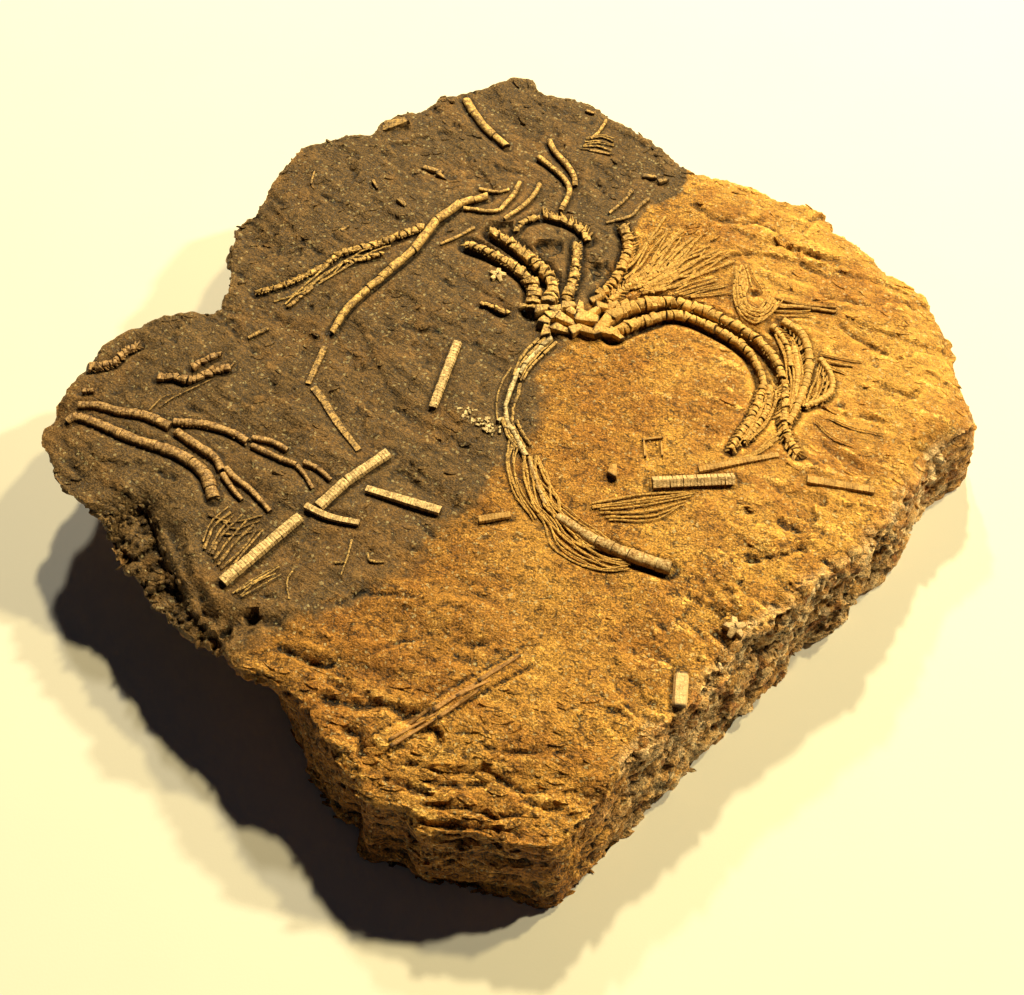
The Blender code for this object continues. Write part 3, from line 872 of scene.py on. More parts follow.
    def _top_relief(self, points: np.ndarray) -> np.ndarray:
        """How far the top rises above its plain form at each place, in millimetres."""
        x, y = points[:, 0], points[:, 1]
        plan = points[:, :2]
        noise = self.noise
        clear, moat = self.room = self.fossil_room(plan)
        ochre = self.ochre_share(plan)
        east = self.east_share(x, y)
        front = smooth_step(y + 0.12 * x + 7 * noise.layered(points, 30.0, 2), -100.0, -134.0)
        swale = smooth_step(x, 12.0, -18.0) * smooth_step(y, -58.0, -80.0) * (1 - front)
        roll = (1.5 - 0.5 * ochre - 0.3 * front) * noise.layered(points, 26.0, 4)
        grain = 0.18 * noise.layered(points, 2.6, 2, 0.7)
        east_steps, swale_steps = (rows.relief(noise, points) for rows in (self.east_rows, self.swale_rows))
        plain_steps, front_steps = (rows.relief(noise, points) for rows in (self.plain_rows, self.front_rows))
        corner = smooth_step(x - 0.8 * y, 96.0, 128.0) * smooth_step(x, 140.0, 118.0) * (1 - front)
        corner_steps = self.corner_rows.relief(noise, points)
        steps = east_steps * east * (1 - corner) + swale_steps * swale
        steps = steps + front_steps * front + corner_steps * corner
        steps += plain_steps * (1 - np.maximum.reduce([east, swale, front, corner])) * (1.5 - 0.8 * ochre)
        relief = (roll + grain + steps) * (0.14 + 0.86 * clear)
        share, wedge = self.spray_share(plan), noise.streaks(points, 43.0, 20.0, 2.6, 2)
        relief += 0.8 * share * clear * wedge
        stamp, calm = self._impression(plan)
        relief = relief * (1 - 0.75 * calm) + stamp - moat
        relief += self._ledge_relief(points)
        for hollow in self.hollows:
            over, up = x - hollow.x + 0.3 * (y - hollow.y), y - hollow.y - 0.3 * (x - hollow.x)
            gap = np.maximum(np.abs(over), np.abs(up) * 1.3) / hollow.radius + 0.8 * noise.layered(
                points, 7.0, 2,
            )
            relief -= hollow.depth * smooth_step(gap, 1.1, 0.7)
        for crack in self.cracks:
            gap, _, share = line_gap(plan, crack.line)
            gap = gap + 1.1 * crack.half_width * noise.layered(points, 6.0, 2)
            ends = smooth_step(share, 0.0, 0.12) * smooth_step(share, 1.0, 0.88)
            relief -= crack.depth * np.exp(-((gap / crack.half_width) ** 2)) * clear * ends
        return relief

    def spray_share(self, plan: np.ndarray) -> np.ndarray:
        """1 where fine fibres stripe the stone beside the arms, and 0 elsewhere."""
        across = ((plan[:, 0] - 60) * 0.72 + (plan[:, 1] - 66) * 0.69) / 26
        aside = ((plan[:, 1] - 66) * 0.72 - (plan[:, 0] - 60) * 0.69) / 15
        return smooth_step(np.hypot(across, aside), 1.15, 0.7)

    def _impression(self, plan: np.ndarray) -> tuple[np.ndarray, np.ndarray]:
        """The flat mould of a column, with raised edges and a block at its near end.

        Args:
            plan: N by 2 places.

        Returns:
            Its relief, and how far it stills the stone round it.
        """
        gap, _, share = line_gap(plan, self.impression)
        reach = gap / self.impression_half
        ends = smooth_step(share, 0.0, 0.02) * smooth_step(share, 1.0, 0.9)
        edges = -1.0 * np.exp(-(((reach - 1.15) / 0.22) ** 2))
        floor = 0.3 * smooth_step(reach, 1.15, 0.9)
        block = 2.0 * smooth_step(reach, 1.1, 0.95) * smooth_step(share, self.block_share, 0.02)
        return (edges + floor + block) * ends, smooth_step(reach, 1.8, 1.2) * ends

    def _ledge_relief(self, points: np.ndarray) -> np.ndarray:
        """The gully behind the ledge and the rubble on it."""
        gap = line_gap(points[:, :2], self.gully)[0] + 1.8 * self.noise.layered(points, 9.0, 2)
        broken = 0.6 + 0.6 * self.noise.layered(points, 15.0, 2)
        gully = -3.4 * np.exp(-((gap / 2.6) ** 2)) * np.clip(broken, 0, 1)
        border, own = self.noise.cells(points, 7.5)
        rubble = 3.2 * (own - 0.45) - 1.4 * smooth_step(border, 0.18, 0.0)
        share = self.form.ledge_share(points[:, 0], points[:, 1])
        banks = np.exp(-((gap / 8.0) ** 2)) * smooth_step(gap, 1.0, 4.0) * 0.4
        return gully + rubble * np.clip(share + banks, 0, 1)

    def fossil_room(self, plan: np.ndarray) -> tuple[np.ndarray, np.ndarray]:
        """The room that the stone leaves round the fossils.

        Args:
            plan: N by 2 places.

        Returns:
            0 on a fossil rising to 1 well clear of any, and how deep the furrow beside one is.
        """
        near = np.full(len(plan), 1e9)
        furrow = np.zeros(len(plan))
        for course, half, depth in self.courses:
            gap = line_gap(plan, course[:: max(1, len(course) // 14)])[0] - half
            near = np.minimum(near, gap)
            furrow = np.maximum(furrow, depth * np.exp(-(((gap - 0.35) / (0.7 + 0.35 * depth)) ** 2)))
        return smooth_step(near, 0.0, 6.0), furrow

    def ochre_share(self, plan: np.ndarray) -> np.ndarray:
        """1 on the ochre side of the seam and 0 on the slate side, with a soft meeting."""
        gap, side, share = line_gap(plan, self.seam)
        soft = 3.0 + 9.0 * smooth_step(share, 0.12, 0.5)
        return smooth_step(gap * side / soft, -1.0, 1.0)

    def east_share(self, x: np.ndarray, y: np.ndarray) -> np.ndarray:
        """1 over the streaked right side."""
        return smooth_step(x, 48.0, 92.0) * smooth_step(y, -62.0, -20.0)

    def _close_underside(self, rock: bpy.types.Object) -> None:
        """Presses the underside flat and makes it one face."""
        points = vertex_array(rock.data)
        under = points[:, 2] < self.foot_height * MM
        points[under, 2] = 0.0
        set_vertices(rock.data, points)
        select_where(rock, "FACE", lambda face: all(under[i] for i in face.vertices))
        bpy.ops.mesh.dissolve_faces()
        bpy.ops.mesh.select_all(action="SELECT")
        bpy.ops.mesh.normals_make_consistent(inside=False)
        bpy.ops.object.mode_set(mode="OBJECT")

    def _thin(self, rock: bpy.types.Object) -> None:
        """Takes faces away where the stone is nearly plane, down to the limit on triangles."""
        triangles = sum(len(face.vertices) - 2 for face in rock.data.polygons)
        make_active(rock)
        thin = rock.modifiers.new("thin", "DECIMATE")
        thin.ratio = min(1.0, self.triangle_limit / triangles)
        bpy.ops.object.modifier_apply(modifier=thin.name)
        self._drop_flaps(rock)

    def _drop_flaps(self, rock: bpy.types.Object) -> None:
        """Deletes faces that hang on by a single edge."""
        faces = rock.data.polygons
        uses: dict[tuple[int, int], int] = {}
        for face in faces:
            for key in face.edge_keys:
                uses[key] = uses.get(key, 0) + 1
        flaps = {face.index for face in faces if sum(uses[key] == 1 for key in face.edge_keys) > 1}
        if flaps:
            select_where(rock, "FACE", lambda face: face.index in flaps)
            bpy.ops.mesh.delete(type="FACE")
            bpy.ops.object.mode_set(mode="OBJECT")

    def _mark(self, rock: bpy.types.Object) -> None:
        """Stores what the finish reads: the ochre side, the walls, the crests and hollows that it paints with
        highlight and shade, and the furrows beside the fossils, which it paints with shade.
        """
        mesh = rock.data
        points, normals = vertex_array(mesh) / MM, vertex_array(mesh, "normal")
        edges = np.empty(len(mesh.edges) * 2, np.int32)
        mesh.edges.foreach_get("vertices", edges)
        edges = edges.reshape(-1, 2)
        count = np.bincount(edges.ravel(), minlength=len(points))[:, None]
        mean = points.copy()
        fine = None
        for turn in range(self.mark_rounds):
            total = np.zeros_like(mean)
            for axis in range(3):
                total[:, axis] = np.bincount(edges[:, 0], mean[edges[:, 1], axis], len(points))
                total[:, axis] += np.bincount(edges[:, 1], mean[edges[:, 0], axis], len(points))
            mean = total / np.maximum(count, 1)
            if turn == 1:
                fine = np.einsum("ij,ij->i", mean - points, normals)
        wide = np.einsum("ij,ij->i", mean - points, normals)
        # Hollows and crests, which the finish paints darker and lighter as shade and highlight.
        store(
            mesh, "hollow",
            np.clip(smooth_step(fine, 0.05, 0.5) * 0.7 + smooth_step(wide, 0.15, 1.4) * 0.5, 0, 1),
        )
        store(
            mesh, "crest",
            np.clip(smooth_step(-fine, 0.03, 0.4) * 0.7 + smooth_step(-wide, 0.1, 1.2) * 0.4, 0, 1),
        )
        x, y = points[:, 0], points[:, 1]
        top = smooth_step(normals[:, 2], 0.2, 0.5) * smooth_step(points[:, 2], 24.0, 30.0)
        marks = {
            "ochre": self.ochre_share(points[:, :2]), "east": self.east_share(x, y), "top": top,
            "wall": self._wallness(points, normals), "moat": np.clip(self.room[1], 0, 1) * top,
            "front": smooth_step(y + 0.12 * x, -95.0, -130.0), "ledge": self.form.ledge_share(x, y),
            "clear": self.room[0] * (1 - self._impression(points[:, :2])[1]), "broken": self.broken_share(
                points
            ),
        }
        inset = self.form.rim_radius(np.degrees(np.arctan2(y, x))) - np.hypot(x, y) + 5 * self.noise.layered(
            points, 9.0, 3,
        )
        marks["broken"] = marks["broken"] * np.maximum(marks["wall"], 0.7 * smooth_step(inset, 7.0, 2.0))
        marks["deep"] = smooth_step(x - 0.25 * y, 72.0, -36.0) * (1 - 0.4 * marks["front"])
        off_floor = smooth_step(points[:, 2], 8.0, 14.0)
        low_wall = marks["wall"] * smooth_step(points[:, 2], 38.0, 33.0)
        marks["slip"] = low_wall * smooth_step(y, 10.0, -10.0) * off_floor
        marks["rubble"] = marks["broken"] * off_floor
        marks["wall"] = marks["wall"] * smooth_step(self.form.top_height(x, y) - points[:, 2], 1.5, 6.0)
        marks["flaky"] = np.maximum(marks["front"], 0.6 * marks["east"])
        marks["spray"] = self.spray_share(points[:, :2]) * marks["clear"]
        for name in ("ochre", "wall", "moat", "deep", "broken", "east", "flaky"):
            store(mesh, name, marks[name])
        self.skin = StoneSkin(points, normals, marks)


@dataclass
class StoneSkin:
    """The finished stone's points and normals in millimetres, with its marks."""

    points: np.ndarray
    normals: np.ndarray
    marks: dict[str, np.ndarray]


# --------------------------------------------------------------------------- fossils


class Build(Enum):
    """How a run of ossicles is shaped."""

    BARREL = "barrel"
    BLOCK = "block"
    WORN = "worn"
    DISC = "disc"
    STAR = "star"
    THREAD = "thread"
    PLATE = "plate"
    FLAKE = "flake"
    CHIP = "chip"


@dataclass(frozen=True)
class Shape:
    """A small closed mesh as numbers: its points, and its faces' corners end to end with their counts."""

    points: np.ndarray
    corners: np.ndarray
    counts: np.ndarray


@dataclass(frozen=True)
class Ossicle:
    """One ring, modelled about the origin: half a unit each way along X, and 1 unit in radius.

    Attributes:
        sides: The sides of its section.
        shoulder: How far its ends are rounded off.
        crown: Where its top is worn flat, as a share of its radius.
        waist: How far its ends are drawn in.
        lobes: The lobes of a star-shaped section.
        lobe_depth: How deep the notches between lobes are.
    """

    sides: int
    shoulder: float
    crown: float = 1.0
    waist: float = 0.0
    lobes: int = 0
    lobe_depth: float = 0.0

    def model(self) -> Shape:
        """Turns a short cylinder into the ring and reads it as numbers."""
        deselect()
        bpy.ops.mesh.primitive_cylinder_add(
            vertices=self.sides, radius=1.0, depth=1.0, rotation=(math.pi / 2, 0.0, math.pi / 2),
        )
        ring = bpy.context.object
        bpy.ops.object.transform_apply(location=False, rotation=True, scale=False)
        select_where(ring, "EDGE", lambda middle: abs(middle.x) > 0.49)
        bpy.ops.mesh.bevel(offset=self.shoulder, offset_type="OFFSET", segments=1, affect="EDGES")
        bpy.ops.mesh.select_all(action="SELECT")
        bpy.ops.mesh.normals_make_consistent(inside=False)
        bpy.ops.object.mode_set(mode="OBJECT")
        points = vertex_array(ring.data)
        points[:, 1:] *= 1 - self.waist * (2 * points[:, :1]) ** 2
        if self.lobes:
            turn = np.arctan2(points[:, 2], points[:, 1]) - math.pi / 2
            points[:, 1:] *= 1 - self.lobe_depth * (0.5 - 0.5 * np.cos(self.lobes * turn))[:, None]
        points[:, 2] = np.where(
            points[:, 2] > self.crown, self.crown + 0.2 * (points[:, 2] - self.crown), points[:, 2],
        )
        return take_shape(ring, points)


@dataclass(frozen=True)
class CupPlate:
    """A wedge-shaped plate, modelled about the origin: half a unit along X, and 1 unit the other ways."""

    taper: float = 0.45
    shoulder: float = 0.16

    def model(self) -> Shape:
        """Bevels a block and draws one end in."""
        deselect()
        bpy.ops.mesh.primitive_cube_add(size=1.0)
        plate = bpy.context.object
        plate.scale = (1.0, 2.0, 2.0)
        bpy.ops.object.transform_apply(location=False, rotation=False, scale=True)
        select_where(plate, "EDGE", lambda middle: True)
        bpy.ops.mesh.bevel(offset=self.shoulder, offset_type="OFFSET", segments=1, affect="EDGES")
        bpy.ops.object.mode_set(mode="OBJECT")
        points = vertex_array(plate.data)
        points[:, 1] *= 1 - self.taper * (points[:, 0] + 0.5)
        points[:, 1] *= 1 - 0.22 * (points[:, 2] + 1) / 2
        points[:, 2] -= 0.25 * (points[:, 0] + 0.5) * (points[:, 2] + 1) / 2
        return take_shape(plate, points)


@dataclass(frozen=True)
class Shard:
    """An angular bit of stone, modelled about the origin: half a unit along X, and 1 unit the other ways."""

    flat: bool
    seed: int
    SIDES = 7
    SIDE_TURN = 51.4

    def model(self) -> Shape:
        """Pulls the corners of a low drum or a ball about."""
        deselect()
        if self.flat:
            bpy.ops.mesh.primitive_cylinder_add(vertices=self.SIDES, radius=1.0, depth=2.0)
        else:
            bpy.ops.mesh.primitive_ico_sphere_add(subdivisions=1, radius=1.0)
        shard = bpy.context.object
        points = vertex_array(shard.data)
        draws = np.random.default_rng(self.seed)
        if self.flat:
            bearing = np.degrees(np.arctan2(points[:, 1], points[:, 0]))
            outline = draws.uniform(0.62, 1.0, self.SIDES)[
                (bearing // self.SIDE_TURN).astype(int) % self.SIDES
            ]
            points[:, :2] *= (outline * (1 - 0.12 * points[:, 2]))[:, None]
        else:
            points *= draws.uniform(0.65, 1.1, (len(points), 1))
        points[:, 0] *= 0.5
        return take_shape(shard, points)


def take_shape(obj: bpy.types.Object, points: np.ndarray) -> Shape:
    """Reads an object's faces as numbers, with these points, and removes the object."""
    corners = np.array([i for face in obj.data.polygons for i in face.vertices])
    counts = np.array([len(face.vertices) for face in obj.data.polygons])
    mesh = obj.data
    bpy.data.objects.remove(obj, do_unlink=True)
    bpy.data.meshes.remove(mesh)
    return Shape(points, corners, counts)


@dataclass
class Spots:
    """Where copies of a shape go: their middles, their axes, their sizes, their wedge and their tint."""

    middle: np.ndarray
    along: np.ndarray
    across: np.ndarray
    up: np.ndarray
    size: np.ndarray
    wedge: np.ndarray
    tint: np.ndarray
    marks: dict[str, np.ndarray] = field(default_factory=dict)


class Relief:
    """Copies of small shapes, joined as one mesh."""

    def __init__(self) -> None:
        """Starts empty."""
        self.points: list[np.ndarray] = []
        self.corners: list[np.ndarray] = []
        self.counts: list[np.ndarray] = []
        self.marks: dict[str, list[np.ndarray]] = {"tint": [], "seam": [], "crown": []}
        self.total = 0

    def add(self, shape: Shape, spots: Spots) -> None:
        """Adds a copy of the shape at each spot.

        Args:
            shape: The shape, about the origin.
            spots: Where its copies go.
        """
        local, copies = shape.points, len(spots.middle)
        x = local[None, :, 0] * spots.size[:, :1] * (1 + spots.wedge[:, None] * local[None, :, 1])
        y = local[None, :, 1] * spots.size[:, 1:2]
        z = local[None, :, 2] * spots.size[:, 2:]
        axes = zip((x, y, z), (spots.along, spots.across, spots.up))
        world = spots.middle[:, None] + sum(part[..., None] * axis[:, None] for part, axis in axes)
        starts = self.total + len(local) * np.arange(copies)
        self.points.append(world.reshape(-1, 3))
        self.corners.append((shape.corners[None] + starts[:, None]).ravel())
        self.counts.append(np.tile(shape.counts, copies))
        self.marks["tint"].append(np.repeat(spots.tint, len(local)))
        self.marks["seam"].append(np.tile(smooth_step(np.abs(local[:, 0]), 0.41, 0.5), copies))
        # How high a point sits on its ossicle; the finishes paint the tops paler, partly as wear and partly
        # as painted highlight.
        self.marks["crown"].append(np.tile(smooth_step(local[:, 2], -0.2, 0.9), copies))
        for name, values in spots.marks.items():
            self.marks.setdefault(name, []).append(np.repeat(values, len(local)))
        self.total += len(local) * copies

    def piece(self, name: str, form: SlabForm, ochre: Callable[[np.ndarray], np.ndarray]) -> bpy.types.Object:
        """Makes the mesh.

        Args:
            name: Its name.
            form: The slab's form, which the points' marks are measured from.
            ochre: Gives the ochre share at places.

        Returns:
            The object.
        """
        points = np.vstack(self.points)
        low, high = (np.array(corner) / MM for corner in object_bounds())
        np.clip(points, low + 0.05, high - 0.05, out=points)
        corners, counts = np.concatenate(self.corners), np.concatenate(self.counts)
        mesh = bpy.data.meshes.new(name)
        mesh.vertices.add(len(points))
        mesh.loops.add(len(corners))
        mesh.polygons.add(len(counts))
        mesh.loops.foreach_set("vertex_index", corners.astype(np.int32))
        mesh.polygons.foreach_set("loop_start", (np.cumsum(counts) - counts).astype(np.int32))
        set_vertices(mesh, points * MM)
        mesh.update(calc_edges=True)
        mesh.validate()
        for mark, values in self.marks.items():
            store(mesh, mark, np.concatenate(values))
        store(mesh, "ochre", ochre(points[:, :2]))
        # Height above the stone's top, which the finishes read to paint shade near the bed.
        store(mesh, "rise", points[:, 2] - form.top_height(points[:, 0], points[:, 1]))
        piece = bpy.data.objects.new(name, mesh)
        bpy.context.scene.collection.objects.link(piece)
        make_active(piece)
        bpy.ops.object.shade_smooth_by_angle(angle=math.radians(42.0))
        return piece


@dataclass(frozen=True)
class Strand:
    """A run of ossicles on the slab, in millimetres.

    Attributes:
        name: Its name, which is its CAD node's if it has one.
        build: The kind of its ossicles.
        width: Its width at its start.
        tip: Its width at its end.
        relief: How far it stands above its bed.
        ring: How long an ossicle is.
        route: The places that it runs through.
        in_cad: Whether it stands for a CAD node.
        pinnules: The lengths of the side branches on its left, and on its right as numbers below 0.
    """

    name: str
    build: Build
    width: float
    tip: float
    relief: float
    ring: float
    route: Route
    in_cad: bool = True
    pinnules: tuple[float, ...] = ()

    def halves(self, share: Any) -> Any:
        """Half its width at a share of its length."""
        return 0.5 * (self.width + (self.tip - self.width) * share)


@dataclass(frozen=True)
class Fan:
    """Threads between two outer threads that have the same number of points."""

    name: str
    count: int
    width: float
    relief: float
    first: Route
    last: Route
    ring: float = 1.7
    waver: float = 0.35

    def strands(self, draws: np.random.Generator) -> list[Strand]:
        """The threads, each a little out of line and of its own length."""
        found = []
        for i in range(self.count):
            share = (i + draws.uniform(-0.25, 0.25)) / max(1, self.count - 1)
            points = np.array(self.first) * (1 - share) + np.array(self.last) * share
            points += draws.normal(0, self.waver, points.shape)
            start, end = draws.uniform(0, 0.22), draws.uniform(0, 0.22)
            points[0] += (points[1] - points[0]) * start
            points[-1] += (points[-2] - points[-1]) * end
            route = tuple(map(tuple, points))
            width = self.width * draws.uniform(0.75, 1.2)
            relief = self.relief * draws.uniform(0.6, 1.2)
            found.append(Strand(self.name, Build.THREAD, width, width * 0.7, relief, self.ring, route, False))
        return found


@dataclass(frozen=True)
class Tablet:
    """A loose plate: its middle, bearing in degrees, length, width and height above its bed."""

    x: float
    y: float
    bearing: float
    length: float
    width: float
    height: float


@dataclass(frozen=True)
class BoneFinish:
    """A fossil finish: what the ossicles look like on the ochre stone and on the slate stone."""

    name: str
    ochre: Colour
    slate: Colour
    pale: Colour
    # The near-black of the seams, which also serves for the painted shade at the bed.
    seam: Colour = (0.035, 0.014, 0.004)
    # How strong the painted shade near the bed is.
    bed_shade: float = 0.75
    roughness: float = 0.5
    specular: float = 0.35

    def material(self) -> bpy.types.Material:
        """Builds the finish: a tint for each ossicle, pale crowns that are partly wear and partly painted
        highlight, dark seams and painted shade at the bed.
        """
        g = Graph(self.name)
        mottle = g.noise(2.0, 3.0, 0.6)
        grit = g.noise(0.5, 2.0, 0.7)
        chips = g.facets(1.1)
        body = g.blend(g.attribute("ochre"), self.slate, self.ochre)
        # Paler, mottled tops of the ossicles: partly wear and partly painted highlight.
        worn = g.attribute("crown") * (mottle * 0.7 + grit * 0.3 + chips * 0.3).ramp(0.36, 0.60)
        bone = g.blend(worn * (0.95 - 0.4 * g.attribute("ochre")), body, self.pale)
        # A tint for each ossicle, and brightness that follows the height of the small facets, which is
        # painted shading.
        bone = g.shaded(bone, 0.62 + 0.62 * g.attribute("tint") + chips * 0.5)
        seam = g.attribute("seam").ramp(0.3, 0.95) * (0.35 + 1.1 * mottle)
        grime = seam + (grit + mottle).ramp(0.84, 0.70) * 0.55
        bone = g.blend(grime, bone, self.seam)
        # Painted shade: darker towards the bed, where the ossicle meets the stone.
        bone = g.blend(g.attribute("rise").ramp(0.85, 0.1) * self.bed_shade, bone, self.seam)
        height = grit * 0.35 + mottle * 0.4 + chips * 0.5
        return g.finish(bone, self.roughness + 0.2 * grit, g.bump(height, 0.6), self.specular)


CROWN_BONE = BoneFinish("crown_bone", (0.66, 0.36, 0.080), (0.36, 0.210, 0.07), (0.92, 0.59, 0.19))
STEM_BONE = BoneFinish("stem_bone", (0.44, 0.235, 0.068), (0.42, 0.30, 0.14), (0.90, 0.70, 0.36), bed_shade=0.6)
BRONZE_BONE = BoneFinish(
    "bronze_bone", (0.40, 0.21, 0.06), (0.25, 0.135, 0.05), (0.60, 0.37, 0.15), roughness=0.4,
)
COLUMN_BONE = BoneFinish("column_bone", (0.80, 0.52, 0.23), (0.56, 0.37, 0.155), (0.95, 0.68, 0.33), bed_shade=0.5)
BURIED_BONE = BoneFinish(
    "buried_bone", (0.56, 0.29, 0.058), (0.165, 0.10, 0.042), (0.68, 0.42, 0.14), bed_shade=0.6,
)
MOULD_BONE = BoneFinish("mould_bone", (0.38, 0.18, 0.048), (0.38, 0.18, 0.048), (0.56, 0.31, 0.095), bed_shade=0.1)
THREAD_BONE = BoneFinish(
    "thread_bone", (0.62, 0.335, 0.068), (0.27, 0.17, 0.072), (0.86, 0.55, 0.17), bed_shade=0.35,
)


class Workshop:
    """Models each kind of ossicle once, and lays runs of copies on the slab."""

    BED_GAP = 0.35
    KINDS: dict[Build, Any] = {
        Build.BARREL: Ossicle(sides=12, shoulder=0.15, waist=0.07),
        Build.BLOCK: Ossicle(sides=7, shoulder=0.16, crown=0.9, waist=0.12),
        Build.WORN: Ossicle(sides=12, shoulder=0.08, crown=0.88),
        Build.DISC: Ossicle(sides=8, shoulder=0.13, crown=0.66),
        Build.STAR: Ossicle(sides=20, shoulder=0.12, waist=0.02, lobes=5, lobe_depth=0.26),
        Build.THREAD: Ossicle(sides=6, shoulder=0.12),
        Build.PLATE: CupPlate(),
        Build.FLAKE: Shard(True, 3),
        Build.CHIP: Shard(False, 8),
    }
    WEDGE: dict[Build, float] = {Build.BARREL: 0.55, Build.BLOCK: 0.68, Build.WORN: 0.12}
    JITTER: dict[Build, float] = {
        Build.BARREL: 0.18, Build.BLOCK: 0.24, Build.WORN: 0.10, Build.THREAD: 0.2, Build.DISC: 0.05,
    }
    TWIST: dict[Build, float] = {Build.BARREL: 0.17, Build.BLOCK: 0.24, Build.WORN: 0.05, Build.DISC: 0.02}
    STAGGER: dict[Build, float] = {Build.BARREL: 0.11, Build.BLOCK: 0.16, Build.WORN: 0.03, Build.THREAD: 0.2}
    OVERLAP = 1.06

    def __init__(self, form: SlabForm, ochre: Callable[[np.ndarray], np.ndarray], seed: int) -> None:
        """Models the shapes.

        Args:
            form: The slab's form.
            ochre: Gives the ochre share at places.
            seed: The seed of the small irregularities.
        """
        self.form = form
        self.ochre = ochre
        self.draws = np.random.default_rng(seed)
        self.shapes = {kind: maker.model() for kind, maker in self.KINDS.items()}

    def lay(self, relief: Relief, strand: Strand) -> None:
        """Lays a strand's ossicles end to end along its route."""
        course = smooth_route(strand.route)
        passed = np.concatenate([[0.0], np.cumsum(np.linalg.norm(np.diff(course, axis=0), axis=1))])
        count = max(1, round(passed[-1] / strand.ring))
        edges = np.linspace(0, passed[-1], count + 1)
        jitter = self.JITTER.get(strand.build, 0.0)
        edges[1:-1] += self.draws.uniform(-1, 1, count - 1) * jitter * strand.ring
        share = (edges[1:] + edges[:-1]) / 2 / passed[-1]
        half = strand.halves(share) * (1 + jitter * self.draws.uniform(-1, 1, count))
        top = strand.relief * 2 * half / max(strand.width, strand.tip)
        tall = half * (0.92 if strand.build != Build.DISC else 0.8)
        x, y = (np.interp(edges, passed, course[:, axis]) for axis in (0, 1))
        z = self.form.top_height(x, y) + self.BED_GAP
        ends = np.stack([x, y, z], axis=1)
        middle = (ends[1:] + ends[:-1]) / 2
        middle[:, 2] += top - tall * min(1.0, 0.2 + self.KINDS[strand.build].crown * 0.8)
        way = ends[1:] - ends[:-1]
        twist = self.draws.normal(0, self.TWIST.get(strand.build, 0.05), (count, 2))
        way = way + np.stack(
            [-way[:, 1] * twist[:, 0], way[:, 0] * twist[:, 0], twist[:, 1] * strand.ring], axis=1,
        )
        along, across, up = self._axes(way)
        stagger = self.draws.uniform(-1, 1, (count, 2)) * self.STAGGER.get(strand.build, 0.0) * half[:, None]
        middle += across * stagger[:, :1] + up * stagger[:, 1:]
        length = np.linalg.norm(ends[1:] - ends[:-1], axis=1) * self.OVERLAP
        wedge = self.WEDGE.get(strand.build, 0.0) * np.where(np.arange(count) % 2, 1, -1)
        wedge = wedge * self.draws.uniform(0.3, 1.3, count)
        size = np.stack([length, half, tall], axis=1)
        relief.add(
            self.shapes[strand.build], Spots(middle, along, across, up, size, wedge, self._tints(count)),
        )

    def lay_tablets(self, relief: Relief, tablets: Sequence[Tablet], kind: Build = Build.PLATE) -> None:
        """Lays loose plates, each sunk a little."""
        x, y, turn, length, width, height = np.array(
            [(t.x, t.y, math.radians(t.bearing), t.length, t.width, t.height) for t in tablets]
        ).T
        tilt = self.draws.normal(0, 0.16, len(x))
        way = np.stack([np.cos(turn), np.sin(turn), tilt], axis=1)
        along, across, up = self._axes(way)
        tall = height * 0.75
        middle = np.stack([x, y, self.form.top_height(x, y) + self.BED_GAP + height - tall], axis=1)
        size = np.stack([length, width / 2, tall], axis=1)
        wedge = self.draws.uniform(-0.5, 0.5, len(x)) * (height > 1.5)
        relief.add(self.shapes[kind], Spots(middle, along, across, up, size, wedge, self._tints(len(x))))

    def lay_pinnules(self, relief: Relief, strand: Strand) -> None:
        """Lays the short side branches of an arm, which lean towards its tip."""
        course = smooth_route(strand.route)
        passed = np.concatenate([[0.0], np.cumsum(np.linalg.norm(np.diff(course, axis=0), axis=1))])
        for side in strand.pinnules:
            count = round(passed[-1] / 1.15)
            at = (np.arange(count) + self.draws.uniform(0.2, 0.8, count)) / count * passed[-1]
            x, y = (np.interp(at, passed, course[:, axis]) for axis in (0, 1))
            ahead = [np.interp(at + 0.5, passed, course[:, axis]) for axis in (0, 1)]
            sign = np.sign(side)
            lean = sign * np.radians(self.draws.normal(46, 9, count)) + np.arctan2(ahead[1] - y, ahead[0] - x)
            half = strand.halves(at / passed[-1])
            length = abs(side) * self.draws.uniform(0.6, 1.1, count)
            reach = half * 0.6 + length / 2
            way = np.stack([np.cos(lean), np.sin(lean), self.draws.normal(-0.06, 0.05, count)], axis=1)
            x, y = x + way[:, 0] * reach, y + way[:, 1] * reach
            along, across, up = self._axes(way)
            size = np.stack(
                [length * 1.3, self.draws.uniform(0.24, 0.42, count), np.full(count, 0.42)], axis=1,
            )
            middle = np.stack([x, y, self.form.top_height(x, y) + self.BED_GAP - 0.05], axis=1)
            spots = Spots(middle, along, across, up, size, np.zeros(count), self._tints(count))
            relief.add(self.shapes[Build.THREAD], spots)

    def _axes(self, way: np.ndarray) -> tuple[np.ndarray, np.ndarray, np.ndarray]:
        """Unit axes along a way, level across it, and up from it."""
        along = way / np.linalg.norm(way, axis=1, keepdims=True)
        across = np.stack([-along[:, 1], along[:, 0], np.zeros(len(way))], axis=1)
        across /= np.linalg.norm(across, axis=1, keepdims=True)
        return along, across, np.cross(along, across)

    def _tints(self, count: int) -> np.ndarray:
        """A tint for each of so many ossicles."""
        return self.draws.uniform(0.25, 0.85, count)


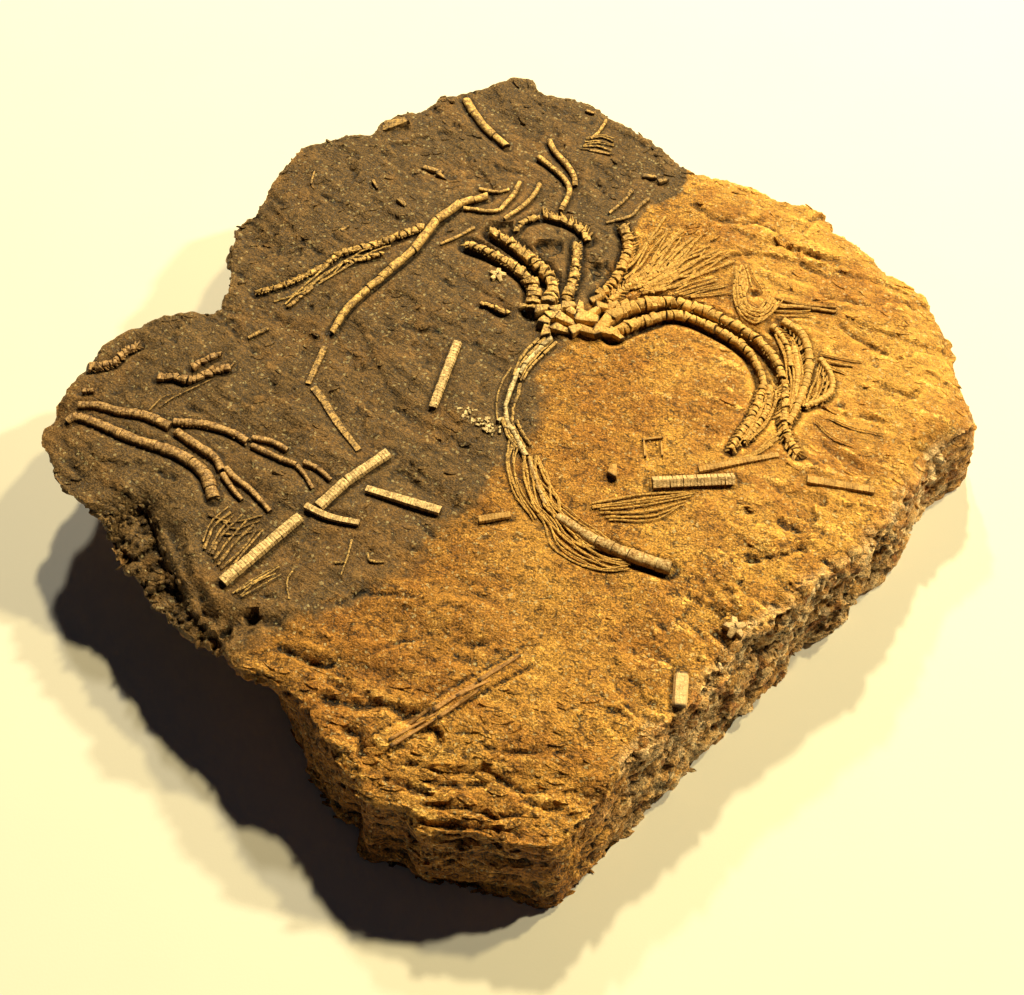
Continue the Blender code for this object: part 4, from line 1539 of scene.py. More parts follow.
@dataclass
class FossilGroup:
    """Fossils of one kind that lie together.

    Attributes:
        strands: Its runs of ossicles.
        fans: Its fans of threads.
        finish: Its ossicles' finish.
        slot: A material slot's name, which is not used.
        fan_name: The name of the piece that its threads make.
        fan_finish: Their finish.
        furrow: How deep the furrow beside a strand is, as a share of its relief.
    """

    strands: tuple[Strand, ...] = ()
    fans: tuple[Fan, ...] = ()
    finish: BoneFinish = CROWN_BONE
    slot: str = "crinoid"
    fan_name: str = ""
    fan_finish: BoneFinish = THREAD_BONE
    furrow: float = 0.6

    def courses(self) -> list[tuple[np.ndarray, float, float]]:
        """The lines that the stone keeps clear of, each with half its width and the furrow beside it."""
        lines = [(smooth_route(s.route), s.halves(0.5), self.furrow * s.relief) for s in self.strands]
        for fan in self.fans:
            first, last = np.array(fan.first, float), np.array(fan.last, float)
            for share in np.linspace(0.1, 0.9, 4):
                lines.append((smooth_route(tuple(map(tuple, first * (1 - share) + last * share))), 0.6, 0.3))
        return lines

    def build(self, workshop: Workshop) -> None:
        """Lays each strand as a piece, and all the threads as another."""
        for strand in self.strands:
            relief = Relief()
            workshop.lay(relief, strand)
            workshop.lay_pinnules(relief, strand)
            nodes = [strand.name] if strand.in_cad else []
            self._finish_piece(workshop, relief, f"fossil_{strand.name}", self.finish, nodes)
        if self.fans:
            relief = Relief()
            for fan in self.fans:
                for thread in fan.strands(workshop.draws):
                    workshop.lay(relief, thread)
            self._finish_piece(workshop, relief, self.fan_name, self.fan_finish, [])

    def _finish_piece(
        self, workshop: Workshop, relief: Relief, name: str, finish: BoneFinish, nodes: Sequence[str],
    ) -> None:
        """Joins the copies, and names, dresses and ties the piece."""
        piece = relief.piece(name, workshop.form, workshop.ochre)
        material = bpy.data.materials.get(finish.name) or finish.material()
        place_piece(piece, name, material, nodes)


@dataclass
class Crown(FossilGroup):
    """The sea lily's cup and arms."""

    furrow: float = 0.75
    strands: tuple[Strand, ...] = (
        Strand(
            "arm_left_outer", Build.BLOCK, 6.2, 3.0, 2.8, 2.1,
            ((7.2, 42.6), (8.2, 49.5), (7.2, 55.5), (3.4, 61.4), (-6.5, 69.6), (-18, 75.5)),
            pinnules=(1.5, -0.8),
        ),
        Strand(
            "arm_left_inner", Build.BLOCK, 6.6, 3.4, 3.0, 2.2,
            ((13.6, 45), (14.8, 52), (15, 57), (11.5, 62.8), (2.5, 72.6), (-8.5, 82)), pinnules=(0.9, -2.0),
        ),
        Strand(
            "arm_back_middle", Build.BLOCK, 4.8, 3.0, 2.3, 2.0,
            ((19.8, 47.5), (21.8, 53), (24, 62), (25, 75.5)), pinnules=(1.3, -1.8),
        ),
        Strand(
            "arm_back_bow", Build.BLOCK, 3.4, 2.6, 1.9, 1.9,
            ((29.5, 77), (26.5, 82.5), (21, 86.8), (12.4, 90)), pinnules=(-4.0,),
        ),
        Strand("arm_back_hook", Build.BLOCK, 2.6, 2.2, 1.5, 2.0, ((11, 89), (4.8, 86.8), (1.2, 81.5))),
        Strand(
            "arm_back_right", Build.BLOCK, 4.0, 4.6, 2.2, 1.7,
            ((32, 50), (36, 53.5), (40.5, 61), (44.3, 72), (44.5, 79), (42.5, 84.5)), pinnules=(1.2, -2.4),
        ),
        Strand(
            "arm_pinnulate", Build.BARREL, 2.6, 1.7, 1.1, 1.6,
            ((36, 46.5), (40.5, 52), (46, 56.5), (55, 61.5), (63.5, 66)), pinnules=(3.6, -3.0),
        ),
        Strand(
            "sweep_base_outer", Build.BLOCK, 7.2, 5.6, 3.2, 2.9,
            ((35, 38), (40, 43), (44, 44.4), (56, 47.3)), False,
        ),
        Strand(
            "sweep_base_inner", Build.BLOCK, 5.6, 4.6, 2.6, 2.6,
            ((37, 31.5), (41, 34), (45.5, 36.5), (54, 40)), False,
        ),
        Strand(
            "arm_sweep_outer", Build.BARREL, 5.7, 2.8, 2.9, 2.5,
            (
                (40, 43), (44, 44.2), (55.5, 47.2), (67.5, 45), (80.5, 37.8), (90, 30.5), (96, 21.5),
                (98.4, 13),
            ),
            pinnules=(1.2, -1.6),
        ),
        Strand(
            "arm_sweep_inner", Build.BARREL, 4.5, 2.9, 2.4, 2.2,
            ((41, 34), (45.5, 36.5), (58, 40.8), (67, 39.2), (79, 32), (87, 24), (90.6, 14), (91.2, 9)),
        ),
        Strand(
            "arm_fork_inner", Build.BARREL, 2.9, 2.4, 1.6, 1.6,
            ((90.6, 9), (88.4, 2.5), (86, -3), (82, -9.5), (76.8, -18.2)), pinnules=(2.2, -2.0),
        ),
        Strand(
            "arm_fork_outer", Build.BARREL, 2.7, 2.2, 1.5, 1.6,
            ((93, 9.4), (92, 1.5), (89.5, -4.5), (82, -14.5)), pinnules=(2.4, -1.6),
        ),
        Strand(
            "arm_third_sweep", Build.BARREL, 2.7, 2.2, 1.4, 1.6,
            ((96.4, 36.5), (99.8, 31), (101.4, 25), (101.6, 18)), pinnules=(3.2,),
        ),
        Strand(
            "arm_curl_inner", Build.WORN, 3.4, 2.4, 1.8, 1.6,
            ((100.6, 38.6), (106.4, 33.6), (108.6, 27), (108.4, 19), (106.4, 11), (101.2, -1.5), (98, -7)),
            pinnules=(1.6, -3.2),
        ),
        Strand(
            "arm_curl_outer", Build.WORN, 2.5, 2.0, 1.3, 1.5,
            ((112.6, 21.6), (115.4, 16), (116, 9.5), (112.6, 4.6), (105, 0.6)), pinnules=(1.2, -4.0),
        ),
        Strand(
            "arm_tail", Build.BLOCK, 3.0, 3.4, 1.6, 1.7,
            ((99, 11.8), (98, 3), (97, -5), (97.4, -12), (100.4, -19.5)), pinnules=(2.4, -3.2),
        ),
        Strand(
            "arm_hatched", Build.WORN, 2.6, 1.8, 0.9, 1.5,
            ((103.6, 27), (104.2, 20), (103.4, 12), (102, 5)), False,
        ),
    )
    fans: tuple[Fan, ...] = (
        Fan("tuft", 12, 1.1, 1.5,
            ((86.5, 65), (84, 57), (83.5, 49), (85.5, 41), (91, 37.5), (97, 41.5), (100.5, 48)),
            ((89, 57), (87.6, 53.5), (87.4, 49), (88.6, 45.5), (91.5, 43.8), (94.5, 46), (96.5, 50)), 1.8,
            0.55),
        Fan("tuft_tip", 4, 1.1, 1.2,
            ((86, 66), (85, 60), (84.5, 55)), ((90.5, 64), (92.5, 58), (95, 53)), 1.8, 0.5),
        Fan("fork_mat", 8, 0.9, 1.0, ((88.6, 6), (85.5, -3), (81, -11), (77.5, -17)),
            ((97, 8), (94.5, 0), (90, -8), (84, -14)), 1.5, 0.9),
        Fan("curl_mat", 9, 0.8, 0.8, ((97.5, 33), (99.5, 24), (99.5, 12), (98.5, -3)),
            ((107, 30), (107.5, 20), (105.5, 10), (101.5, 0)), 1.5, 0.9),
        Fan("hatch", 6, 0.8, 0.6,
            ((103, 0), (105, 8), (108, 16), (109.5, 22)), ((108, 1), (112, 5), (114, 9), (114.5, 14))),
        Fan("spray", 26, 1.2, 0.8, ((43, 57), (48, 65), (54, 75), (58, 86)),
            ((50, 51.5), (60, 54), (72, 62), (88, 69)), 2.2, 1.5),
        Fan("spray_low", 8, 0.7, 0.45, ((60, 52), (68, 56), (77, 60)), ((66, 49), (74, 51), (83, 52))),
        Fan("right_upper", 3, 0.7, 0.45,
            ((97, 46), (104, 45.4), (112, 46.5)), ((98, 41), (105, 41.5), (113, 42))),
        Fan("right_middle", 3, 0.8, 0.5,
            ((112, 24), (120, 21.5), (128, 20.5)), ((115, 19.5), (118, 17), (122, 15.5))),
        Fan("right_lower", 2, 0.8, 0.5,
            ((112, -4), (120, -8), (133, -11)), ((108, -5), (113, -12), (120, -16))),
        Fan("tail_threads", 5, 0.9, 0.5,
            ((93, -15), (86, -19), (78, -23), (66, -26)), ((97, -9), (90, -15), (84, -20), (76, -22))),
        Fan("knob_threads", 6, 0.8, 0.6, ((41, 64), (44, 66), (47, 70)), ((43, 76), (46, 78), (51, 80))),
    )
    fan_name: str = "crown_threads"
    tablets: tuple[Tablet, ...] = (
        Tablet(27.6, 38.4, -14, 9.0, 7.0, 3.6), Tablet(34.6, 36.8, 62, 6.4, 6.0, 3.0),
        Tablet(38.8, 40.4, 28, 6.2, 6.4, 3.2), Tablet(19.6, 37.6, -28, 8.0, 4.4, 3.0),
        Tablet(17.8, 33.4, -14, 7.4, 4.0, 2.6), Tablet(23.4, 33.0, 34, 5.2, 5.0, 3.0),
        Tablet(28.2, 32.2, -30, 8.6, 4.6, 2.8), Tablet(33.6, 32.4, -16, 7.6, 4.8, 3.0),
        Tablet(38.2, 31.0, -40, 6.4, 3.8, 2.2), Tablet(12.4, 37.4, 65, 6.6, 5.6, 3.2),
        Tablet(15.6, 39.4, 15, 5.6, 5.0, 3.2), Tablet(12.6, 32.8, 80, 5.4, 4.6, 2.6),
        Tablet(17.4, 42.6, 25, 6.8, 4.2, 3.0), Tablet(21.0, 44.2, 10, 5.8, 4.8, 2.8),
        Tablet(11.4, 42.6, 15, 6.0, 4.8, 2.8), Tablet(4.2, 44.6, 15, 3.4, 2.8, 1.6),
        Tablet(31.6, 48.0, 30, 5.0, 3.4, 2.0), Tablet(33.6, 43.8, 0, 5.6, 4.4, 2.6),
        Tablet(38.0, 44.6, 30, 4.6, 4.0, 2.4), Tablet(25.4, 43.6, 80, 5.6, 4.0, 2.6),
        Tablet(22.6, 40.6, -50, 5.2, 4.2, 3.2), Tablet(30.6, 41.4, 40, 5.0, 4.0, 2.8),
    )

    def build(self, workshop: Workshop) -> None:
        """Lays the arms, then the cup's plates."""
        super().build(workshop)
        relief = Relief()
        workshop.lay_tablets(relief, self.tablets)
        nodes = ["cup_plate_left", "cup_plate_middle", "cup_plate_right"]
        self._finish_piece(workshop, relief, "cup_plates", self.finish, nodes)


@dataclass
class Stem(FossilGroup):
    """The sea lily's stem, its cirri and the long columns at its end."""

    finish: BoneFinish = STEM_BONE
    strands: tuple[Strand, ...] = (
        Strand(
            "stem_top", Build.WORN, 2.0, 1.5, 1.5, 4.4,
            ((14.6, 29.6), (10.4, 25.4), (5.0, 18.4), (2.8, 14)),
        ),
        Strand("stem_middle", Build.WORN, 1.9, 1.7, 1.3, 3.6, ((2.6, 16), (0.8, 11), (-0.8, 6), (-2.4, 0))),
        Strand(
            "stem_lower", Build.WORN, 1.6, 2.4, 1.1, 2.8,
            ((-2.4, 0.6), (-1.8, -6), (0.8, -11), (4.8, -20.5)),
        ),
        Strand(
            "stem_cirri_bundle", Build.THREAD, 1.2, 1.2, 0.8, 2.0, ((6.2, -22.5), (8.5, -31), (11.5, -40)),
        ),
        Strand("stem_column_upper", Build.WORN, 3.0, 4.2, 1.6, 2.4, ((15.6, -44.4), (28.4, -54.3))),
        Strand("stem_column_middle", Build.WORN, 4.4, 4.4, 2.2, 2.6, ((28.7, -54.5), (39, -59.5))),
        Strand("stem_column_end", Build.WORN, 4.4, 4.6, 2.4, 4.2, ((39.3, -59.7), (53, -65))),
    )
    fans: tuple[Fan, ...] = (
        Fan("cirri", 15, 0.8, 0.6,
            ((4, -19), (3.5, -28), (6.5, -40), (11, -48), (15, -55), (22, -62), (31, -65), (40, -65)),
            ((8, -20), (12.5, -30), (16, -38), (19, -42), (24, -47), (29, -50.5), (36, -55), (43, -58)),
            1.8, 0.8),
        Fan("cirri_edge", 5, 0.8, 0.35,
            ((-1, -14), (-2.5, -24), (1, -36), (7, -46)), ((3, -15), (1, -24), (4, -35), (10, -46))),
        Fan("stem_ribs", 5, 1.2, 1.25,
            ((11, 30.5), (6, 24.6), (2, 18.6), (0.6, 12)),
            ((17.4, 28.8), (11.8, 22.6), (7.2, 17), (3.8, 10.6)), 3.4, 0.12),
        Fan("stem_side", 2, 1.1, 1.0,
            ((1.4, 16), (-2.4, 9), (-4.4, 2), (-4.2, -6)), ((3.4, 10), (1.8, 5), (0.6, 0), (0.4, -6)), 2.6,
            0.3),
        Fan("stem_foot", 4, 1.2, 0.9,
            ((-3.6, -4), (-2.4, -11), (1.4, -19)), ((1, -5), (3, -10), (7, -18)), 2.4, 0.3),
    )
    fan_name: str = "stem_cirri"

    crystals: int = 46

    def build(self, workshop: Workshop) -> None:
        """Lays the stem, then the broken crystals on its left."""
        super().build(workshop)
        draws = workshop.draws
        bits = []
        for _ in range(self.crystals):
            share = draws.uniform(0, 1)
            x, y = -17 + 11 * share + draws.normal(0, 1.7), -2.5 - 7.5 * share + draws.normal(0, 1.6)
            size = draws.uniform(0.8, 1.9)
            bits.append(Tablet(x, y, draws.uniform(0, 180), size * 1.4, size, draws.uniform(0.9, 1.6)))
        relief = Relief()
        workshop.lay_tablets(relief, bits)
        self._finish_piece(workshop, relief, "stem_crystals", self.finish, [])


@dataclass
class SideCrown(FossilGroup):
    """The worn arms that branch across the left side."""

    finish: BoneFinish = BRONZE_BONE
    strands: tuple[Strand, ...] = (
        Strand(
            "side_arm_lower", Build.WORN, 3.2, 5.0, 1.6, 1.5,
            (
                (-158.5, -6), (-155.5, -3.8), (-149, -6), (-134, -13), (-118, -19), (-107.5, -27),
                (-103, -37.5),
            ),
            pinnules=(1.2,),
        ),
        Strand(
            "side_arm_trunk", Build.WORN, 3.0, 3.9, 1.4, 1.4,
            ((-155.5, 1), (-149, 1), (-140.5, -1.5), (-131, -3.2), (-121.4, -8)),
        ),
        Strand(
            "side_fork_lower", Build.WORN, 3.4, 2.8, 1.4, 1.4,
            ((-119, -10), (-111.5, -15.5), (-104.5, -20.5), (-101.3, -26)),
        ),
        Strand(
            "side_fork_lower_right", Build.WORN, 2.6, 1.8, 1.1, 1.3,
            ((-100, -25), (-97, -28.5), (-90.5, -34), (-83, -42.5)),
        ),
        Strand(
            "side_fork_upper", Build.WORN, 3.2, 2.6, 1.4, 1.4,
            ((-120.5, -6), (-109, -7), (-99, -10.5), (-93.5, -14)), pinnules=(1.4, -1.2),
        ),
        Strand(
            "side_twig_lower", Build.WORN, 2.5, 2.2, 1.1, 1.3, ((-92, -15.6), (-81.5, -21), (-75.5, -23.5)),
        ),
        Strand(
            "side_twig_lower_right", Build.WORN, 2.0, 1.7, 1.1, 1.4,
            ((-73, -22.5), (-67.5, -25.5), (-63, -30)),
        ),
        Strand("side_twig_upper", Build.WORN, 2.4, 2.0, 1.1, 1.3, ((-92, -12.4), (-85, -14), (-79, -17.5))),
        Strand(
            "edge_arm", Build.BLOCK, 3.6, 2.6, 1.7, 1.5,
            ((-154.5, 17), (-145.5, 19.5), (-142, 24.5), (-137.5, 27.5)), pinnules=(1.6, -2.0),
        ),
        Strand(
            "edge_piece_lower", Build.BLOCK, 3.4, 2.8, 1.8, 1.9,
            ((-128.5, 13), (-122.5, 13.4), (-117, 11.8), (-109, 16.2), (-102.5, 18)), pinnules=(1.6,),
        ),
        Strand(
            "edge_piece_upper", Build.BLOCK, 3.0, 2.6, 1.7, 1.9,
            ((-116.5, 17.4), (-112.5, 21), (-106.5, 24)),
        ),
        Strand(
            "side_fork_lower_left", Build.WORN, 2.2, 1.6, 1.1, 1.4,
            ((-101, -27.5), (-96.5, -34), (-93, -38)), False,
        ),
        Strand(
            "side_twig_lower_left", Build.WORN, 1.8, 1.4, 0.9, 1.3,
            ((-75.2, -24), (-72.5, -27.5), (-69, -33.5)), False,
        ),
        Strand("edge_stub", Build.BLOCK, 2.4, 2.0, 1.2, 1.3, ((-154.5, 7), (-150.5, 7)), False),
    )
    fans: tuple[Fan, ...] = (
        Fan("left_fan", 9, 1.2, 0.7,
            ((-105, -56), (-103, -47), (-97, -40)), ((-96, -68), (-89, -60), (-84, -51)), 1.6, 0.6),
        Fan("left_cross", 3, 0.8, 0.35,
            ((-104, -44), (-96, -46), (-84, -44)), ((-100, -50), (-93, -50), (-82, -49)), 1.8, 0.8),
        Fan("trunk_thread", 2, 0.7, 0.4,
            ((-129.5, -1), (-125, 4.5), (-116.5, 8.5)), ((-127, -1), (-120, 5), (-104.5, 15.5))),
    )
    fan_name: str = "side_threads"
    fan_finish: BoneFinish = BURIED_BONE
    furrow: float = 0.45


@dataclass
class BackPieces(FossilGroup):
    """The jointed stem and the arms at the back."""

    strands: tuple[Strand, ...] = (
        Strand("jointed_stem_1", Build.WORN, 3.3, 3.3, 1.7, 4.6, ((-9.5, 99.5), (-20, 96))),
        Strand("jointed_stem_2", Build.WORN, 3.4, 3.4, 1.8, 5.6, ((-20.2, 95.6), (-29, 87))),
        Strand("jointed_stem_3", Build.WORN, 3.4, 3.4, 1.8, 7.4, ((-29.3, 86.7), (-37.5, 72.4))),
        Strand("jointed_stem_4", Build.WORN, 3.3, 3.2, 1.7, 6.0, ((-37.8, 72), (-54, 54))),
        Strand("jointed_stem_5", Build.WORN, 3.2, 2.4, 1.6, 4.2, ((-54.3, 53.5), (-61.5, 45), (-66.8, 34))),
        Strand(
            "knobbly_arm", Build.BLOCK, 3.6, 1.6, 1.6, 2.4,
            ((-34, 83.5), (-41.5, 80.2), (-53, 74.6), (-65.5, 70.6), (-71, 65.5), (-84.5, 57), (-96.5, 52.5)),
            pinnules=(1.0, -1.4),
        ),
        Strand(
            "back_bar", Build.WORN, 4.4, 3.2, 1.3, 7.5,
            ((-19, 152.5), (-13.5, 141), (-7.5, 133), (-2, 127)),
        ),
        Strand(
            "back_arm_right", Build.WORN, 2.5, 2.4, 1.3, 2.0,
            ((15, 130), (17, 124.5), (21.5, 117.5), (24.5, 111), (25, 105.5)),
        ),
        Strand(
            "back_arm_left", Build.WORN, 2.3, 2.2, 1.3, 2.0,
            ((10.5, 121), (18.8, 112), (22.2, 106), (22.4, 101), (19, 92.4)),
        ),
        Strand(
            "back_twig_left", Build.WORN, 2.0, 1.7, 1.1, 2.4,
            ((3, 107.5), (1, 101.5), (-2.5, 96), (-6.5, 91.8), (-19, 93.2)),
        ),
        Strand(
            "back_twig_middle", Build.WORN, 2.0, 1.7, 1.1, 2.4,
            ((11, 106.5), (8.5, 100.5), (4, 94.5), (-3, 88)),
        ),
        Strand(
            "back_twig_right", Build.WORN, 1.5, 1.2, 0.8, 2.0, ((38.5, 141), (35.5, 135), (32, 131)), False,
        ),
        Strand("arm_scrap", Build.BLOCK, 2.2, 1.8, 1.1, 1.8, ((-49, 70.5), (-56, 68), (-64, 66)), False),
        Strand("back_link", Build.WORN, 1.5, 1.2, 0.8, 2.0, ((-13, 103.5), (-6, 102), (-1, 103.5)), False),
        Strand(
            "bead_row", Build.BLOCK, 2.2, 2.0, 1.2, 2.0, ((-12, 46.5), (-8.5, 45.5), (-5, 43), (-1, 41.5)),
            False,
        ),
    )
    fans: tuple[Fan, ...] = (
        Fan("arm_pinnules", 9, 0.9, 0.6,
            ((-46, 75), (-54, 71), (-62, 64)), ((-72, 62), (-80, 54), (-90, 46)), 1.7, 1.3),
        Fan("back_fan", 6, 0.8, 0.5,
            ((27, 126), (34, 125.5), (41.5, 122.5)), ((30, 132), (36, 133), (42, 131))),
    )
    fan_name: str = "back_threads"


@dataclass
class LooseColumns(FossilGroup):
    """Stem columns and a star that lie loose."""

    finish: BoneFinish = COLUMN_BONE
    slot: str = "loose_columns"
    furrow: float = 0.3
    strands: tuple[Strand, ...] = (
        Strand("long_column_upper", Build.DISC, 4.3, 4.3, 1.9, 1.1, ((-43.5, -19), (-57.4, -30.5))),
        Strand("long_column_middle", Build.DISC, 4.3, 4.3, 1.9, 1.1, ((-57.6, -30.7), (-66.5, -41))),
        Strand("long_column_lower", Build.DISC, 4.3, 4.5, 1.9, 1.1, ((-72.5, -45), (-96.5, -70))),
        Strand("crossing_column", Build.DISC, 3.0, 2.6, 1.5, 1.0, ((-71, -40.6), (-62.5, -45), (-52, -47.5))),
        Strand("flared_column", Build.DISC, 3.1, 4.0, 1.4, 1.0, ((-50.5, -33.5), (-24.5, -42.5))),
        Strand("upright_column", Build.DISC, 3.7, 3.4, 1.6, 1.2, ((-20, 28.5), (-28.5, 0))),
        Strand("ridged_column", Build.STAR, 4.8, 4.8, 2.3, 1.2, ((48.5, -32), (77, -30.5))),
        Strand("short_column", Build.DISC, 4.8, 4.6, 2.0, 12.0, ((54.5, -102.5), (53.5, -113.5))),
    )
    fans: tuple[Fan, ...] = (
        Fan("column_cirri", 4, 0.8, 0.55,
            ((-93, -73), (-86, -68), (-78, -63)), ((-90, -76), (-84, -71), (-77, -67))),
        Fan("loose_cirri", 2, 0.9, 0.6,
            ((-71.5, -63), (-74, -69), (-73, -76)), ((-52, -52.5), (-52.5, -58), (-55.5, -67.5)), 1.4, 0.1),
        Fan("low_cirri", 2, 0.8, 0.5,
            ((-59, -62), (-57, -62.5), (-55, -62)), ((-50.5, -59), (-49, -62), (-44.5, -62)), 1.4, 0.1),
        Fan("sweep_cirri", 7, 0.8, 0.5,
            ((25, -40), (44, -36.5), (64, -34.5)), ((30, -46), (48, -46), (60, -40.5))),
    )
    fan_name: str = "loose_cirri"
    stars: tuple[Tablet, ...] = (Tablet(73, -86.5, 90, 1.2, 7.6, 1.7), Tablet(-5.5, 59.5, 70, 1.2, 6.4, 1.4))

    def build(self, workshop: Workshop) -> None:
        """Lays the columns, then the stars."""
        super().build(workshop)
        relief = Relief()
        for i, star in enumerate(self.stars):
            self._lay_star(workshop, relief, star, 9 * i)
        self._finish_piece(workshop, relief, "star_ossicles", self.finish, ["star_ossicle"])

    def _lay_star(self, workshop: Workshop, relief: Relief, star: Tablet, turn: float) -> None:
        """Lays one star flat: five short petals round its middle."""
        petals = []
        for i in range(5):
            bearing = star.bearing + 72 * i + turn
            reach = star.width * 0.27
            x = star.x + reach * math.cos(math.radians(bearing))
            y = star.y + reach * math.sin(math.radians(bearing))
            petals.append(Tablet(x, y, bearing, star.width * 0.50, star.width * 0.46, star.height))
        workshop.lay_tablets(relief, petals)


@dataclass
class BuriedPieces(FossilGroup):
    """Worn pieces that hardly stand out from the stone."""

    finish: BoneFinish = BURIED_BONE
    furrow: float = 0.4
    strands: tuple[Strand, ...] = (
        Strand("low_column", Build.DISC, 4.0, 3.4, 0.8, 1.9, ((102.5, -30), (125.5, -34))),
        Strand("faint_column", Build.DISC, 3.0, 2.6, 0.6, 1.4, ((-69, 27.5), (-74, 11)), False),
        Strand(
            "faint_column_low", Build.DISC, 3.6, 2.8, 0.5, 1.8,
            ((-72, 9.5), (-68, 4), (-62.5, -5.5), (-54, -17.5)), False,
        ),
        Strand("ribbed_scrap", Build.DISC, 3.2, 3.0, 1.2, 1.1, ((-11.5, -46), (-0.5, -44)), False),
        Strand("low_ribs", Build.DISC, 3.0, 2.4, 0.6, 1.3, ((65, -26.5), (80, -23), (93.5, -20)), False),
        Strand(
            "back_scrap_upper", Build.WORN, 1.6, 1.2, 0.8, 2.0,
            ((54, 99), (49.5, 94.5), (46.5, 90), (36.5, 86.5)), False,
        ),
        Strand(
            "back_scrap_lower", Build.WORN, 1.6, 1.2, 0.8, 2.0, ((47.5, 103.5), (44, 98), (38, 91.5)),
            False,
        ),
        Strand("low_scrap", Build.WORN, 1.8, 1.4, 0.8, 2.0, ((-90.5, 36), (-97.5, 31.5)), False),
        Strand("arm_scrap_low", Build.BLOCK, 1.8, 1.4, 0.9, 1.8, ((-75, 55), (-80, 50), (-84, 45.5)), False),
        Strand(
            "back_scrap_left", Build.WORN, 1.6, 1.2, 0.8, 2.0, ((-14.5, 83.5), (-20.5, 79), (-27.5, 75)),
            False,
        ),
        Strand("low_rib_right", Build.WORN, 1.6, 1.2, 0.6, 3.0, ((97.5, 46), (108, 45.4), (121, 43)), False),
    )
    fans: tuple[Fan, ...] = (
        Fan("right_line", 1, 0.8, 0.4,
            ((97, 50), (108, 46.5), (124, 45)), ((97, 50), (108, 46.5), (124, 45)), 3.0, 0.2),
    )
    fan_name: str = "buried_threads"
    fan_finish: BoneFinish = BURIED_BONE
    tablets: tuple[Tablet, ...] = (
        Tablet(35, -27, 80, 5.2, 4.6, 1.8), Tablet(49.5, -14, 5, 7.5, 1.2, 0.8), Tablet(
            46.5, -18, 92, 7.0, 1.2, 0.8,
        ),
        Tablet(52.5, -18, 92, 6.4, 1.0, 0.6), Tablet(-47.5, 137.5, 14, 11.0, 6.0, 1.7), Tablet(
            -31.5, 113, -22, 9.0, 2.6, 1.1,
        ),
        Tablet(-28, 110, -30, 5.0, 2.0, 0.9), Tablet(-54, 105, -64, 5.0, 1.5, 0.9), Tablet(
            -43, 95.6, -50, 4.6, 3.0, 1.3,
        ),
        Tablet(-78.8, 108.6, 80, 7.0, 1.0, 0.5), Tablet(35.3, 123.5, -18, 9.0, 1.5, 0.7), Tablet(
            54.7, 110.2, -8, 6.0, 2.4, 1.0,
        ),
        Tablet(60, 108, 20, 4.6, 2.6, 1.1), Tablet(31.9, 145.5, -30, 4.0, 1.6, 0.7), Tablet(
            -64.6, 82.9, 40, 4.0, 1.4, 0.7,
        ),
    )
    mould: tuple[Point, Point] = ((-39, -126), (4, -97))
    mould_rows: tuple[tuple[float, float, float, int], ...] = (
        (1.4, 1.9, 1.0, 3), (-0.2, 1.2, 0.94, 2), (-1.6, 1.6, 0.66, 2),
    )

    def build(self, workshop: Workshop) -> None:
        """Lays the pieces, then the blocks and the mould's plates."""
        super().build(workshop)
        relief = Relief()
        workshop.lay_tablets(relief, self.tablets)
        self._finish_piece(workshop, relief, "buried_blocks", self.finish, [])
        relief = Relief()
        workshop.lay_tablets(relief, self._mould_plates(workshop.draws))
        self._finish_piece(workshop, relief, "mould_plates", MOULD_BONE, [])

    def _mould_plates(self, draws: np.random.Generator) -> list[Tablet]:
        """The long flat plates in the mould, in rows of an offset, a width, a share and a count."""
        start, end = (np.array(place, float) for place in self.mould)
        whole = float(np.linalg.norm(end - start))
        way = (end - start) / whole
        bearing = math.degrees(math.atan2(way[1], way[0]))
        plates = []
        for offset, width, share, count in self.mould_rows:
            length = whole * share / count
            for i in range(count):
                x, y = start + way * length * (i + 0.5) + np.array((-way[1], way[0])) * (
                    offset + draws.normal(0, 0.12)
                )
                turn, tall = bearing + draws.normal(0, 0.5), draws.uniform(0.4, 0.6)
                plates.append(Tablet(x, y, turn, length * draws.uniform(0.93, 1.0), width, tall))
        return plates


# --------------------------------------------------------------------------- broken bits


